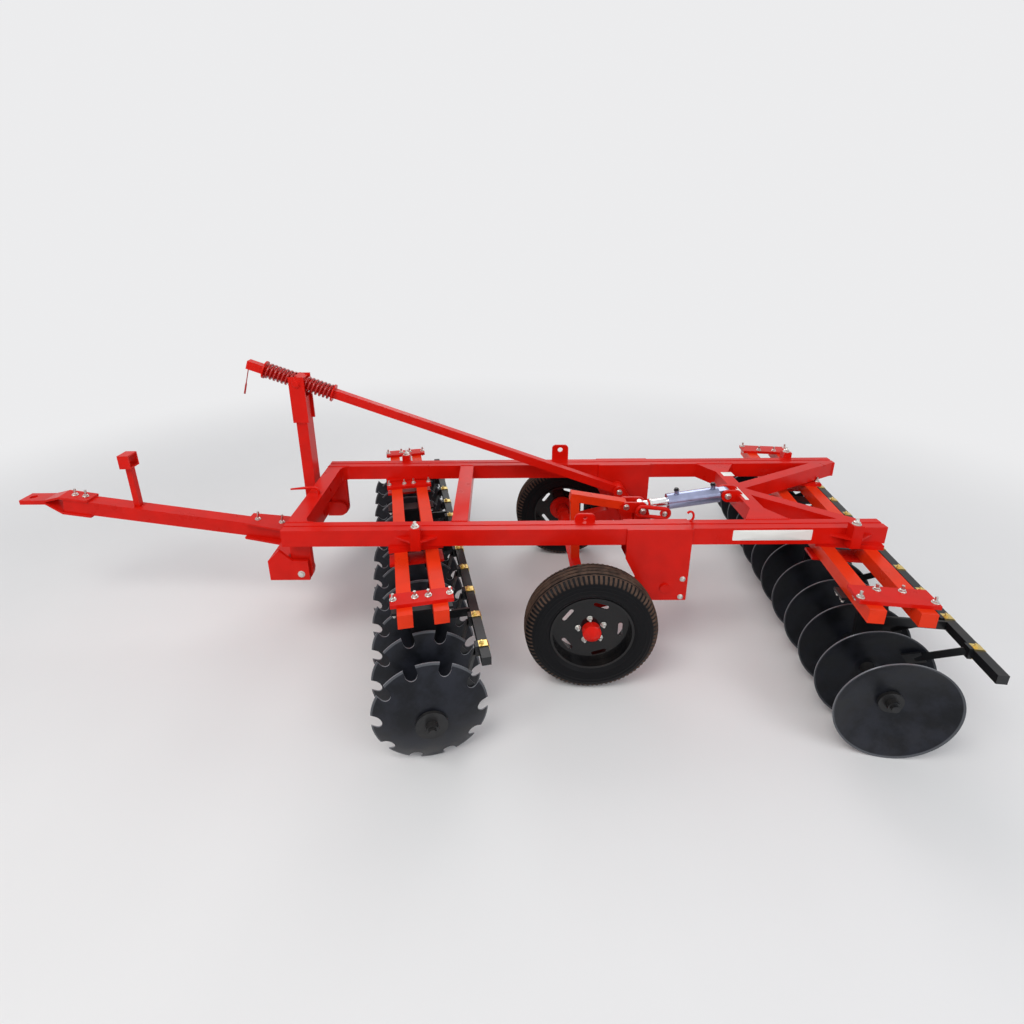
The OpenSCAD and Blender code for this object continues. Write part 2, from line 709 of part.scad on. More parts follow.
// Square axle through both arms, with a round spindle at each end
spindle_lead = 62;
spindle_end = wheel_y + spindle_lead;
module wheel_axle_tube() color(red) {
    translate([hub_x, 0, wheel_r]) rotate([0, -arm_turn, 0])
        cube([wheel_axle, 2 * axle_half, wheel_axle], center = true);
    for (side = [-1, 1]) round_y(axle_pin, spindle_d, side > 0 ? axle_half : -spindle_end,
                                 side > 0 ? spindle_end : -axle_half);
}

// Lever plates on the rockshaft: one pair for the cylinder and one pair for the levelling rod
module lift_levers() color(red) {
    for (side = [-1, 1]) difference() {
        plate_xz(-cylinder_offset + side * (lever_in + lever_t / 2), lever_t) {
            link2d(lift_pin, lever_pin, lever_foot_r, lever_eye_r);
            link2d(lever_pin, ear_pin, lever_eye_r, lever_ear_r);
        }
        round_y(lift_pin, rockshaft_d + 2 * weld_gap, -beam_in, beam_in);
    }
    for (side = [-1, 1]) difference() {
        plate_xz(rod_offset + side * (rod_lever_in + lever_t / 2), lever_t)
            link2d(lift_pin, rod_pin, lever_foot_r, lever_eye_r);
        round_y(lift_pin, rockshaft_d + 2 * weld_gap, -beam_in, beam_in);
    }
    round_y(rod_pin, cylinder_pin_d, rod_offset - rod_lever_in - cut, rod_offset + rod_lever_in + cut);
}

// Post on the axle and the strut that ties its top to the cylinder's lever
strut_rise = atan2(post_top[1] - ear_pin[1], ear_pin[0] - post_top[0]);
module lift_post() color(orange_red) plate_xz(-cylinder_offset, 2 * lever_in) difference() {
    union() {
        polygon([
            [hub_x - post_w / 2, wheel_r],
            [hub_x + post_w / 2, wheel_r],
            [post_top[0] + post_w / 2, post_top[1]],
            [post_top[0] - post_w / 2, post_top[1]]
        ]);
        translate(post_top) rotate(-strut_rise) translate([-post_w / 2, -strut_h / 2])
            square([norm(ear_pin - post_top) + post_w / 2, strut_h]);
    }
    translate(axle_pin) rotate(arm_turn) square(wheel_axle + 2 * weld_gap, center = true);
}

// Wheel: tyre, slotted rim and hub, drawn about the wheel's own axis along Z, outer side up
// Shares of the tyre's section: height from bead to tread, and half width
tyre_heights = [0, 0.06, 0.12, 0.3, 0.5, 0.7, 0.85, 0.94, 0.98, 1];
tyre_halves = [0.76, 0.76, 0.88, 0.97, 1, 0.97, 0.88, 0.72, 0.45, 0];
rim_lip = 14;
bead_r = rim_d / 2 - rim_lip;
module tyre_profile() {
    count = len(tyre_heights);
    side = [for (i = [0 : count - 1])
        [bead_r + (wheel_r - bead_r) * tyre_heights[i], tyre_w / 2 * tyre_halves[i]]];
    other = [for (i = [1 : count - 1]) let (p = side[count - 1 - i]) [p[0], -p[1]]];
    polygon(concat(side, other));
}
module wheel_tyre() rotate_extrude($fn = 96) tyre_profile();
rim_t = 6;
rim_slots = 5;
rim_base_share = 0.76;
rim_face_share = 0.3;
slot_share = 0.72;
slot_d = 26;
slot_half = 34;
module wheel_rim() {
    half = tyre_w / 2;
    outer = bead_r - weld_gap;
    rotate_extrude($fn = 96) {
        translate([outer - rim_t, -half * rim_base_share - rim_t])
            square([rim_t, tyre_w * rim_base_share + 2 * rim_t]);
        for (side = [-1, 1])
            translate([outer - rim_t, side * (half * rim_base_share + rim_t / 2 + weld_gap) - rim_t / 2])
                square([rim_lip, rim_t]);
    }
    difference() {
        translate([0, 0, half * rim_face_share]) cylinder(d = 2 * outer, h = rim_t);
        cylinder(d = hub_d + 2 * weld_gap, h = tyre_w);
        for (i = [0 : rim_slots - 1]) rotate(i * 360 / rim_slots) translate([bead_r * slot_share, 0, 0]) {
            for (side = [-1, 1]) translate([0, side * slot_half, 0]) cylinder(d = slot_d, h = tyre_w);
            translate([-slot_d / 2, -slot_half, 0]) cube([slot_d, 2 * slot_half, tyre_w]);
        }
    }
}
hub_d = 110;
hub_flange_d = 210;
hub_flange_t = 14;
hub_back = 84;
hub_front = 74;
cap_t = 10;
module wheel_hub() {
    face = tyre_w / 2 * rim_face_share;
    difference() {
        union() {
            translate([0, 0, -hub_back]) cylinder(d = hub_d, h = hub_back + hub_front);
            translate([0, 0, face - hub_flange_t]) cylinder(d = hub_flange_d, h = hub_flange_t);
        }
        translate([0, 0, -hub_back - cut])
            cylinder(d = spindle_d + 2 * run_gap, h = hub_back + hub_front - cap_t + cut);
    }
}
module on_wheel(side) translate([hub_x, side * wheel_y, wheel_r]) rotate([-90 * side, 0, 0]) children();
module left_tyre() color(steel_black) on_wheel(-1) wheel_tyre();
module left_rim() color(steel_black) on_wheel(-1) wheel_rim();
module left_hub() color(red) on_wheel(-1) wheel_hub();
module right_tyre() color(steel_black) on_wheel(1) wheel_tyre();
module right_rim() color(steel_black) on_wheel(1) wheel_rim();
module right_hub() color(red) on_wheel(1) wheel_hub();

// Cylinder drawn along -X from its base pin
module on_cylinder() translate([base_pin[0], -cylinder_offset, base_pin[1]])
    rotate([0, cylinder_angle, 0]) children();
module bar_along(d, x0, x1) translate([-x0, 0, 0]) rotate([0, -90, 0]) cylinder(d = d, h = x1 - x0);
module cross_bore(x, d, w) translate([-x, w / 2, 0]) rotate([90, 0, 0]) cylinder(d = d, h = w);
port_d = 30;
port_h = 22;
module cylinder_barrel() color("silver") on_cylinder() difference() {
    union() {
        cross_bore(0, 2 * eye_r, eye_w);
        translate([-barrel_back - cut, -eye_w / 2, -eye_r]) cube([barrel_back + cut, eye_w, 2 * eye_r]);
        bar_along(barrel_d, barrel_back, barrel_length);
        for (x = [barrel_back + port_d, barrel_length - gland_w - port_d])
            translate([-x, 0, 0]) cylinder(d = port_d, h = barrel_d / 2 + port_h);
    }
    bar_along(barrel_d - 2 * barrel_wall, barrel_back + barrel_wall, barrel_length - gland_w);
    bar_along(piston_rod_d + 2 * run_gap, barrel_back + barrel_wall, barrel_length + cut);
    cross_bore(0, cylinder_pin_d + 2 * run_gap, 2 * eye_w);
}
module cylinder_rod() color("gainsboro") on_cylinder() {
    bar_along(piston_rod_d, barrel_length - rod_inside, cylinder_length - eye_r / 2);
    cross_bore(cylinder_length, 2 * eye_r, eye_w);
}

// Hinge beam of the drawbar with the plates and pins that straddle the frame's lugs
module hinge_beam() color(red) {
    block([yoke_x, -hinge_half, hinge_beam_z - hinge_beam_h / 2],
          [hinge_front, hinge_half, hinge_beam_z + hinge_beam_h / 2]);
    for (side = [-1, 1]) {
        plate_xz(side * (lug_y - lug_t / 2 - lug_gap - hinge_plate_t / 2), hinge_plate_t) {
            translate([hinge_front - cut, hinge_z - hinge_plate_h / 2])
                square([hinge_x - hinge_front + cut, hinge_plate_h]);
            translate([hinge_x, hinge_z]) circle(hinge_plate_h / 2);
        }
        end = hinge_x + hinge_tail - yoke_x;
        plate_xz(side * (hinge_half - hinge_plate_t / 2), hinge_plate_t)
            translate([yoke_x, hinge_beam_z - hinge_beam_h / 2]) polygon([
                [0, 0],
                [end, 0],
                [end, hinge_beam_h],
                [end * hinge_gusset_shares[1], hinge_beam_h],
                [end * hinge_gusset_shares[0], hinge_beam_h + hinge_gusset_h],
                [0, hinge_beam_h]
            ]);
        round_y([hinge_x, hinge_z], hinge_pin_d, side * lug_y - lug_t / 2 - lug_gap - hinge_plate_t,
                side * lug_y + lug_t / 2 + lug_gap + hinge_plate_t);
    }
}

// Sloped frame of the drawbar tube, its origin at the hinge beam's front face
tube_drop = 2;
drawbar_z = hinge_beam_z - tube_drop;
function axis_at(run) = drawbar_z + run * tan(drawbar_slope);
module on_drawbar() translate([yoke_x, 0, drawbar_z]) rotate([0, drawbar_slope, 0]) children();
yoke_lap = 25;
module drawbar_yoke() color(red) intersection() {
    on_drawbar() for (side = [-1, 1])
        translate([0, 0, side > 0 ? drawbar_tube_size / 2 : -drawbar_tube_size / 2 - yoke_t])
            linear_extrude(yoke_t) polygon([
                [yoke_lap, -yoke_rear_w / 2],
                [yoke_lap, yoke_rear_w / 2],
                [-yoke_length, yoke_front_w / 2],
                [-yoke_length, -yoke_front_w / 2]
            ]);
    block([yoke_x - yoke_length, -yoke_rear_w, 0], [yoke_x, yoke_rear_w, frame_top]);
}
tube_end_gap = 15;
module drawbar_tube() color(red) on_drawbar()
    block([-drawbar_length / cos(drawbar_slope), -drawbar_tube_size / 2, -drawbar_tube_size / 2],
          [-tube_end_gap, drawbar_tube_size / 2, drawbar_tube_size / 2]);

// Straps bolted over and under the drawbar's front end, meeting in a level tongue
tongue_z = axis_at(hitch_reach - hitch_nose);
module strap(side) {
    hold = drawbar_length - strap_hold;
    seat = side * (tube_rise + weld_gap);
    points = [
        [hold, axis_at(hold) + seat],
        [strap_run, axis_at(strap_run) + seat],
        [strap_run + strap_bend, tongue_z],
        [hitch_reach + hitch_nose, tongue_z]
    ];
    lift = [0, side * strap_t];
    plate_xz(0, strap_w) polygon(concat(
        [for (p = points) [yoke_x - p[0], p[1]]],
        [for (i = [0 : len(points) - 1]) let (p = points[len(points) - 1 - i] + lift) [yoke_x - p[0], p[1]]]
    ));
}
module hitch_straps() color(red) difference() {
    union() {
        strap(1);
        strap(-1);
    }
    translate([yoke_x - hitch_reach, 0, tongue_z - 2 * strap_t]) cylinder(d = hitch_hole_d, h = 4 * strap_t);
}

// Hose post on the drawbar with an open square ring on top
hose_x = yoke_x - hose_post_reach;
hose_foot = axis_at(hose_post_reach) + tube_rise;
module hose_post() color(red) {
    ring_z = hose_foot + hose_post_h;
    plate_xz(0, hose_post_w) polygon([
        [hose_x - hose_post_w / 2, hose_foot + hose_post_w / 2 * tan(drawbar_slope)],
        [hose_x + hose_post_w / 2, hose_foot - hose_post_w / 2 * tan(drawbar_slope)],
        [hose_x + hose_post_w / 2, ring_z],
        [hose_x - hose_post_w / 2, ring_z]
    ]);
    difference() {
        block([hose_x - hose_ring_d / 2, -hose_ring_w / 2, ring_z],
              [hose_x + hose_ring_d / 2, hose_ring_w / 2, ring_z + hose_ring_h]);
        block([hose_x - hose_ring_d, -hose_ring_w / 2 + hose_ring_t, ring_z + hose_ring_t],
              [hose_x + hose_ring_d, hose_ring_w / 2 - hose_ring_t, ring_z + hose_ring_h - hose_ring_t]);
    }
}

// Mast on the hinge beam and the fork plates at its top
module mast() color(red)
    block([mast_x - mast_d / 2, rod_offset - mast_w / 2, hinge_beam_z + hinge_beam_h / 2],
          [mast_x + mast_d / 2, rod_offset + mast_w / 2, mast_top]);
module mast_fork() color(red) for (side = [-1, 1])
    plate_xz(rod_offset + side * (mast_w / 2 + fork_t / 2), fork_t)
        translate([mast_x - fork_d / 2, trunnion_z + fork_rise - fork_length]) square([fork_d, fork_length]);

// Levelling rod drawn along -X from its lever pin
module on_rod() translate([rod_pin[0], rod_offset, rod_pin[1]]) rotate([0, rod_slope, 0]) children();
module levelling_rod() color(red) on_rod() difference() {
    union() {
        cross_bore(0, 2 * rod_eye_r, eye_w);
        block([-rod_length - rod_nose, -rod_size / 2, -rod_size / 2], [0, rod_size / 2, rod_size / 2]);
        translate([-rod_length, 0, 0])
            cube([trunnion_l, mast_w - 2 * trunnion_gap, trunnion_h], center = true);
        for (x = [rod_length - trunnion_l / 2 - spring_length - washer_t,
                  rod_length + trunnion_l / 2 + spring_length])
            bar_along(washer_d, x, x + washer_t);
    }
    cross_bore(0, cylinder_pin_d + 2 * run_gap, 2 * eye_w);
}

// Coil spring round the rod, swept along a helix about -X
function helix(radius, pitch, angle) =
    [-pitch * angle / 360, radius * cos(angle), radius * sin(angle)];
module coil(length) {
    sides = 6;
    steps = 16;
    wire = spring_wire / 2;
    wire_reach = wire * sin(360 / sides);
    radius = spring_d / 2 - wire;
    pitch = (length - 2 * wire_reach - 2 * spring_seat) / spring_turns;
    count = spring_turns * steps;
    points = [for (i = [0 : count]) let (angle = i * 360 / steps, centre = helix(radius, pitch, angle))
        for (j = [0 : sides - 1]) let (turn = j * 360 / sides)
            centre + wire * [-sin(turn), cos(turn) * cos(angle), cos(turn) * sin(angle)]];
    walls = [for (i = [0 : count - 1]) for (j = [0 : sides - 1])
        let (a = i * sides + j, b = i * sides + (j + 1) % sides)
        each [[a, b, b + sides], [a, b + sides, a + sides]]];
    start = [for (j = [0 : sides - 1]) sides - 1 - j];
    end = [for (j = [0 : sides - 1]) count * sides + j];
    translate([-wire_reach - spring_seat, 0, 0]) polyhedron(points, concat(walls, [start, end]));
}
module front_spring() color(red) on_rod() translate([-rod_length - trunnion_l / 2, 0, 0]) coil(spring_length);
module rear_spring() color(red) on_rod()
    translate([-rod_length + trunnion_l / 2 + spring_length, 0, 0]) coil(spring_length);

left_beam();
right_beam();
front_crossbeam();
mid_crossmember();
rear_crossmember();
rear_braces();
hinge_lugs();
wheel_brackets();
lock_ears();
front_gang_tubes();
front_tie_plates();
front_clamps();
front_hangers();
front_scraper_bar();
front_scrapers();
front_discs();
front_axle();
rear_gang_tubes();
rear_tie_plates();
rear_clamps();
rear_hangers();
rear_scraper_bar();
rear_scrapers();
rear_discs();
rear_axle();
rockshaft();
wheel_arms();
wheel_axle_tube();
lift_levers();
lift_post();
left_tyre();
left_rim();
left_hub();
right_tyre();
right_rim();
right_hub();
cylinder_barrel();
cylinder_rod();
hinge_beam();
drawbar_yoke();
drawbar_tube();
hitch_straps();
hose_post();
mast();
mast_fork();
levelling_rod();
front_spring();
rear_spring();
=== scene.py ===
# %% [markdown]
# # A trailed offset disc harrow
# Two gangs of dished discs hang under a red frame of two square beams. The front gang throws the soil to
# one side and the rear gang throws it back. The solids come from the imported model. This lesson adds the
# camera, the light, the finishes and the small hardware: tyres with tread, springs, bolts, welds, clips
# and hooks.

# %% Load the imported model
import json
import math

import bpy
import numpy as np
from mathutils import Matrix, Vector


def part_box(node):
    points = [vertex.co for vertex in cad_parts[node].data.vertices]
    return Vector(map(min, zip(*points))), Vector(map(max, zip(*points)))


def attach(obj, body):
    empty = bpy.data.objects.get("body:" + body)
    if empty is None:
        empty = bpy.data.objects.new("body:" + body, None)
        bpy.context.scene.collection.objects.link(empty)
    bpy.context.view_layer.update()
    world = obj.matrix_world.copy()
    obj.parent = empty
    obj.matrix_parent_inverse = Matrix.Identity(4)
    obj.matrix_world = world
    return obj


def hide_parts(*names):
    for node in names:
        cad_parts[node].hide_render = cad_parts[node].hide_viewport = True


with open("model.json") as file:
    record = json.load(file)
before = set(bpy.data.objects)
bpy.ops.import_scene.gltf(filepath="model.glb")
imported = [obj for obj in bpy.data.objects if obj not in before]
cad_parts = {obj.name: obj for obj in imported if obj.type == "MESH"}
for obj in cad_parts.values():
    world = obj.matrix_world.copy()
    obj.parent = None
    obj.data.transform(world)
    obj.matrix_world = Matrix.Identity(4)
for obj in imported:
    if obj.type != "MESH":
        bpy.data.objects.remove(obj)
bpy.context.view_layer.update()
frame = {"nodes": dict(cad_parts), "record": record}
nodes = frame["nodes"]

# %% [markdown]
# ## The camera
# The picture is taken from the left side, a little above the frame and quite close, so the near wheel
# looks large and the far beam small. The view could be set by eye. Here the camera's place and directions
# were worked out from points of the machine, so that a render can be laid over the picture. A camera's
# matrix holds its right, up and backward directions as columns. The lens is given in millimetres for a
# sensor 36 mm wide, and the shift moves the picture without turning the camera.

# %% Camera
ahead = np.array([-0.01187, 0.94712, -0.32065])
ahead = ahead / np.linalg.norm(ahead)
across = np.array([0.99989, 0.00850, -0.01189])
across = across - ahead * (across @ ahead)
across = across / np.linalg.norm(across)
above = np.cross(across, ahead)
stand = np.array([0.3202, -3.4718, 2.6150])
lens_data = bpy.data.cameras.new("camera")
lens_data.sensor_width = 36.0
lens_data.lens = 19.118
lens_data.shift_x = 0.0181
lens_data.shift_y = -0.0864
camera = bpy.data.objects.new("camera", lens_data)
turned = np.eye(4)
turned[:3, 0], turned[:3, 1], turned[:3, 2], turned[:3, 3] = across, above, -ahead, stand
camera.matrix_world = Matrix(turned.tolist())
bpy.context.scene.collection.objects.link(camera)
bpy.context.scene.camera = camera
print("camera at", stand)

# %% [markdown]
# ## Meshes from arrays
# Every new piece is a grid of points worked out with numpy. A grid has rows and columns, and each cell of
# it is one face. A grid may close on itself, as a tube does. Small hardware is one such shape copied to
# many places. Blender's own operators could build these shapes too, but arrays keep every size in a
# formula and need no edit mode.

# %% Grid helpers
def grid_faces(rows, columns, close_rows=False, close_columns=False):
    """Corner numbers of the faces of a grid: each cell joins a point with the next one along and across."""
    r = np.arange(rows if close_rows else rows - 1)
    c = np.arange(columns if close_columns else columns - 1)
    a, b = np.meshgrid(r, c, indexing="ij")
    a, b = a.ravel(), b.ravel()
    a1, b1 = (a + 1) % rows, (b + 1) % columns
    return np.stack([a * columns + b, a1 * columns + b, a1 * columns + b1, a * columns + b1], axis=1)


def turn_profile(profile, sides):
    """A profile of radius and height turned round Z: each point runs round a circle of its radius."""
    profile = np.asarray(profile, float)
    angle = np.arange(sides) * 2 * np.pi / sides
    points = np.stack([
        profile[:, None, 0] * np.cos(angle), profile[:, None, 0] * np.sin(angle),
        np.broadcast_to(profile[:, None, 1], (len(profile), sides))], axis=2)
    return points.reshape(-1, 3), grid_faces(len(profile), sides, close_columns=True)


def join_shapes(shapes):
    """Several shapes as one: their points in a row, and their faces counted on."""
    counts = np.cumsum([0] + [len(p) for p, f in shapes])
    points = np.concatenate([p for p, f in shapes])
    faces = np.concatenate([f + n for (p, f), n in zip(shapes, counts)])
    return points, faces


def frames_along(points, closed=False):
    """Directions along a path and two square to it, found from a fixed direction that the path avoids."""
    points = np.asarray(points, float)
    if closed:
        along = np.roll(points, -1, 0) - np.roll(points, 1, 0)
    else:
        along = np.gradient(points, axis=0)
    along = along / np.linalg.norm(along, axis=1, keepdims=True)
    seed = np.eye(3)[np.argmin(np.abs(along).max(0))]
    side = np.cross(along, seed)
    side = side / np.linalg.norm(side, axis=1, keepdims=True)
    return along, side, np.cross(along, side)


def round_section(sides):
    """A circle of radius 1 as points of an outline."""
    angle = np.arange(sides) * 2 * np.pi / sides
    return np.stack([np.cos(angle), np.sin(angle)], axis=1)


def sweep(path, radius, section=round_section(12), closed=False):
    """A bar along a path: its section, times the radius, square to the path, with flat ends when open."""
    path = np.asarray(path, float)
    section = np.asarray(section, float)
    along, side, up = frames_along(path, closed)
    size = np.broadcast_to(np.asarray(radius, float), (len(path),))[:, None, None]
    ring = side[:, None, :] * section[None, :, :1] + up[:, None, :] * section[None, :, 1:]
    points = path[:, None, :] + ring * size
    if not closed:
        first, last = path[:1, None] + 0 * points[:1], path[-1:, None] + 0 * points[-1:]
        points = np.concatenate([first, points, last])
    faces = grid_faces(len(points), len(section), close_rows=closed, close_columns=True)
    return points.reshape(-1, 3), faces[:, ::-1]


def arc(centre, start, end, first, last, steps):
    """Points on an arc: the centre plus start times the cosine and end times the sine of an angle."""
    angle = np.radians(np.linspace(first, last, steps))[:, None]
    centre, start, end = (np.asarray(value, float) for value in (centre, start, end))
    return centre + np.cos(angle) * start + np.sin(angle) * end


def copies(shape, places):
    """One shape at many places: each place is a 3 by 4 matrix that turns and moves every point."""
    points, faces = shape
    places = np.asarray(places, float)
    moved = np.einsum("kij,nj->kni", places[:, :, :3], points) + places[:, None, :, 3]
    counted = faces[None] + (np.arange(len(places)) * len(points))[:, None, None]
    return moved.reshape(-1, 3), counted.reshape(-1, faces.shape[1])


def place(at, normal, spin=0.0):
    """A 3 by 4 matrix that stands a shape's Z along a normal at a point, turned by spin round it."""
    z = np.asarray(normal, float)
    z = z / np.linalg.norm(z)
    x = np.cross([0.0, 1.0, 0.0] if abs(z[1]) < 0.9 else [1.0, 0.0, 0.0], z)
    x = x / np.linalg.norm(x)
    y = np.cross(z, x)
    c, s = math.cos(spin), math.sin(spin)
    return np.column_stack([c * x + s * y, c * y - s * x, z, np.asarray(at, float)])


print("helpers ready")

# %% [markdown]
# ## Shared finish groups
# Paint, steel and rubber share a few effects: light scuffs, dust and a fine unevenness of the surface.
# Each effect is a shader node group with named sockets, built once and placed in a material with its own
# values. The nodes could be copied into each material instead, but a group is changed in one place.
# Patterns read Object coordinates, which are metres in the model's frame.

# %% Group helpers
def new_group(name, inputs, outputs):
    """An empty shader group: inputs given as name and default value, outputs as names, all plain values."""
    group = bpy.data.node_groups.new(name, "ShaderNodeTree")
    for label, value in inputs:
        socket = group.interface.new_socket(label, in_out="INPUT", socket_type="NodeSocketFloat")
        socket.default_value = value
    for label in outputs:
        group.interface.new_socket(label, in_out="OUTPUT", socket_type="NodeSocketFloat")
    return group, group.nodes.new("NodeGroupInput"), group.nodes.new("NodeGroupOutput")


def add_node(tree, kind, values=None, links=None, **settings):
    """A node with its settings, plain socket values and incoming links set in one go."""
    item = tree.nodes.new(kind)
    for key, value in settings.items():
        setattr(item, key, value)
    for key, value in (values or {}).items():
        item.inputs[key].default_value = value
    for key, source in (links or {}).items():
        tree.links.new(source, item.inputs[key])
    return item


def math_node(tree, operation, a, b=None, clamp=False):
    """A Math node whose two inputs are links or plain numbers."""
    item = tree.nodes.new("ShaderNodeMath")
    item.operation = operation
    item.use_clamp = clamp
    for socket, value in zip(item.inputs, (a, b)):
        if value is None:
            continue
        if isinstance(value, (int, float)):
            socket.default_value = value
        else:
            tree.links.new(value, socket)
    return item.outputs[0]


def mix_colour(tree, factor, a, b):
    """A colour mix: a where the factor is 0 and b where it is 1."""
    item = tree.nodes.new("ShaderNodeMix")
    item.data_type = "RGBA"
    for socket, value in ((item.inputs[0], factor), (item.inputs[6], a), (item.inputs[7], b)):
        if isinstance(value, (int, float, tuple)):
            socket.default_value = value
        else:
            tree.links.new(value, socket)
    return item.outputs[2]


def ramp(tree, value, low, high):
    """A smooth step from 0 at low to 1 at high."""
    item = tree.nodes.new("ShaderNodeMapRange")
    item.interpolation_type = "SMOOTHSTEP"
    item.inputs["From Min"].default_value = low
    item.inputs["From Max"].default_value = high
    tree.links.new(value, item.inputs["Value"])
    return item.outputs["Result"]


def distance(tree, a, b):
    """The long side of a right triangle: the root of a squared plus b squared."""
    squares = [math_node(tree, "MULTIPLY", side, side) for side in (a, b)]
    return math_node(tree, "SQRT", math_node(tree, "ADD", *squares))


def noise_node(tree, where, scale, detail, roughness=0.5):
    """A noise texture on Object coordinates."""
    return add_node(tree, "ShaderNodeTexNoise", {"Scale": scale, "Detail": detail, "Roughness": roughness},
                    {"Vector": where.outputs["Object"]})


def new_material(name, values):
    """A material with its node tree and its Principled shader, some of whose sockets get plain values."""
    material = bpy.data.materials.new(name)
    material.use_nodes = True
    shader = material.node_tree.nodes["Principled BSDF"]
    for key, value in values.items():
        shader.inputs[key].default_value = value
    return material, material.node_tree, shader


def add_roughness(tree, shader, clean, mask, extra):
    """The clean finish's roughness plus a share where the mask says dust."""
    dusty = math_node(tree, "MULTIPLY", mask, extra)
    tree.links.new(math_node(tree, "ADD", clean, dusty, clamp=True), shader.inputs["Roughness"])


def add_bump(tree, shader, height, strength, depth):
    """Small heights that lean the normal and leave the surface where it is."""
    bump = add_node(tree, "ShaderNodeBump", {"Strength": strength, "Distance": depth}, {"Height": height})
    tree.links.new(bump.outputs[0], shader.inputs["Normal"])


print("group helpers ready")

# %% [markdown]
# ## Scuffs
# A machine that has been moved about has short scuffs along its length, where the paint is rubbed thin. A
# mask painted by hand would need an image. A noise that is stretched along X and cut off near its top
# gives such patches by itself.

# %% Light scuffs
wear_group, wear_in, wear_out = new_group(
    "light_scuffs", [("Amount", 0.5), ("Scale", 30.0)], ["Mask"])
wear_place = add_node(wear_group, "ShaderNodeTexCoord")
wear_long = add_node(wear_group, "ShaderNodeMapping", {"Scale": (0.25, 1.0, 1.6)},
                     {"Vector": wear_place.outputs["Object"]})
wear_noise = add_node(wear_group, "ShaderNodeTexNoise", {"Detail": 8.0, "Roughness": 0.72},
                      {"Vector": wear_long.outputs[0], "Scale": wear_in.outputs["Scale"]})
wear_patch = ramp(wear_group, wear_noise.outputs["Fac"], 0.66, 0.74)
wear_mask = math_node(wear_group, "MULTIPLY", wear_patch, wear_in.outputs["Amount"], clamp=True)
wear_group.links.new(wear_mask, wear_out.inputs["Mask"])
print(wear_group.name, len(wear_group.nodes), "nodes")

# %% [markdown]
# ## Dust
# Dust settles on faces that look up, and more of it lies near the ground. The mask adds a share for the
# height to a share for the upward normal and breaks both up with a noise, so it suits any piece that it
# is placed on.

# %% Settled dust
dust_group, dust_in, dust_out = new_group(
    "settled_dust", [("Amount", 0.4), ("Height", 0.9), ("Scale", 5.0)], ["Mask"])
dust_place = add_node(dust_group, "ShaderNodeTexCoord")
dust_xyz = add_node(dust_group, "ShaderNodeSeparateXYZ", links={0: dust_place.outputs["Object"]})
dust_face = add_node(dust_group, "ShaderNodeNewGeometry")
dust_up = add_node(dust_group, "ShaderNodeSeparateXYZ", links={0: dust_face.outputs["Normal"]})
dust_share = math_node(dust_group, "DIVIDE", dust_xyz.outputs["Z"], dust_in.outputs["Height"])
dust_low = math_node(dust_group, "SUBTRACT", 1.0, dust_share, clamp=True)
dust_top = math_node(dust_group, "MULTIPLY", ramp(dust_group, dust_up.outputs["Z"], 0.4, 1.0), 0.35)
dust_noise = add_node(dust_group, "ShaderNodeTexNoise", {"Detail": 9.0, "Roughness": 0.7},
                      {"Vector": dust_place.outputs["Object"], "Scale": dust_in.outputs["Scale"]})
dust_cloud = ramp(dust_group, dust_noise.outputs["Fac"], 0.36, 0.72)
dust_sum = math_node(dust_group, "ADD", dust_low, dust_top, clamp=True)
dust_patch = math_node(dust_group, "MULTIPLY", dust_sum, dust_cloud)
dust_mask = math_node(dust_group, "MULTIPLY", dust_patch, dust_in.outputs["Amount"], clamp=True)
dust_group.links.new(dust_mask, dust_out.inputs["Mask"])
print(dust_group.name, len(dust_group.nodes), "nodes")

# %% [markdown]
# ## Unevenness
# Sprayed paint is never quite flat: it has fine dimples and wide waves. Two noises of different scale
# give both. Their sum goes to a Bump node as a height, and the wide one alone shifts tone and roughness.

# %% Fine unevenness
peel_group, peel_in, peel_out = new_group(
    "fine_unevenness", [("Scale", 260.0), ("Waves", 7.0)], ["Height", "Tone"])
peel_place = add_node(peel_group, "ShaderNodeTexCoord")
peel_fine = add_node(peel_group, "ShaderNodeTexNoise", {"Detail": 3.0},
                     {"Vector": peel_place.outputs["Object"], "Scale": peel_in.outputs["Scale"]})
peel_wide = add_node(peel_group, "ShaderNodeTexNoise", {"Detail": 4.0},
                     {"Vector": peel_place.outputs["Object"], "Scale": peel_in.outputs["Waves"]})
peel_small = math_node(peel_group, "MULTIPLY", peel_fine.outputs["Fac"], 0.4)
peel_sum = math_node(peel_group, "ADD", peel_small, peel_wide.outputs["Fac"])
peel_group.links.new(peel_sum, peel_out.inputs["Height"])
peel_group.links.new(peel_wide.outputs["Fac"], peel_out.inputs["Tone"])
print(peel_group.name, len(peel_group.nodes), "nodes")

# %% [markdown]
# ## Painted and bare metal
# The frame wears a thick glossy red. The gang tubes and the post had another batch, which is more orange.
# A painted metal is a base colour with a thin clear coat, darker and lighter by a little from place to
# place, with a few scuffs down to the primer and some dust low down. The cylinder's barrel came in a
# crinkled silver film, whose blue tint is a painted reflection of the sky, so its unevenness is wide and
# strong. One function builds them all from their own values.

# %% Metal finishes
soil = (0.33, 0.26, 0.19, 1.0)
dust_height, dust_rough = 0.9, 0.45
coat_rough, tone_rough, peel_depth = 0.08, 0.16, 0.002


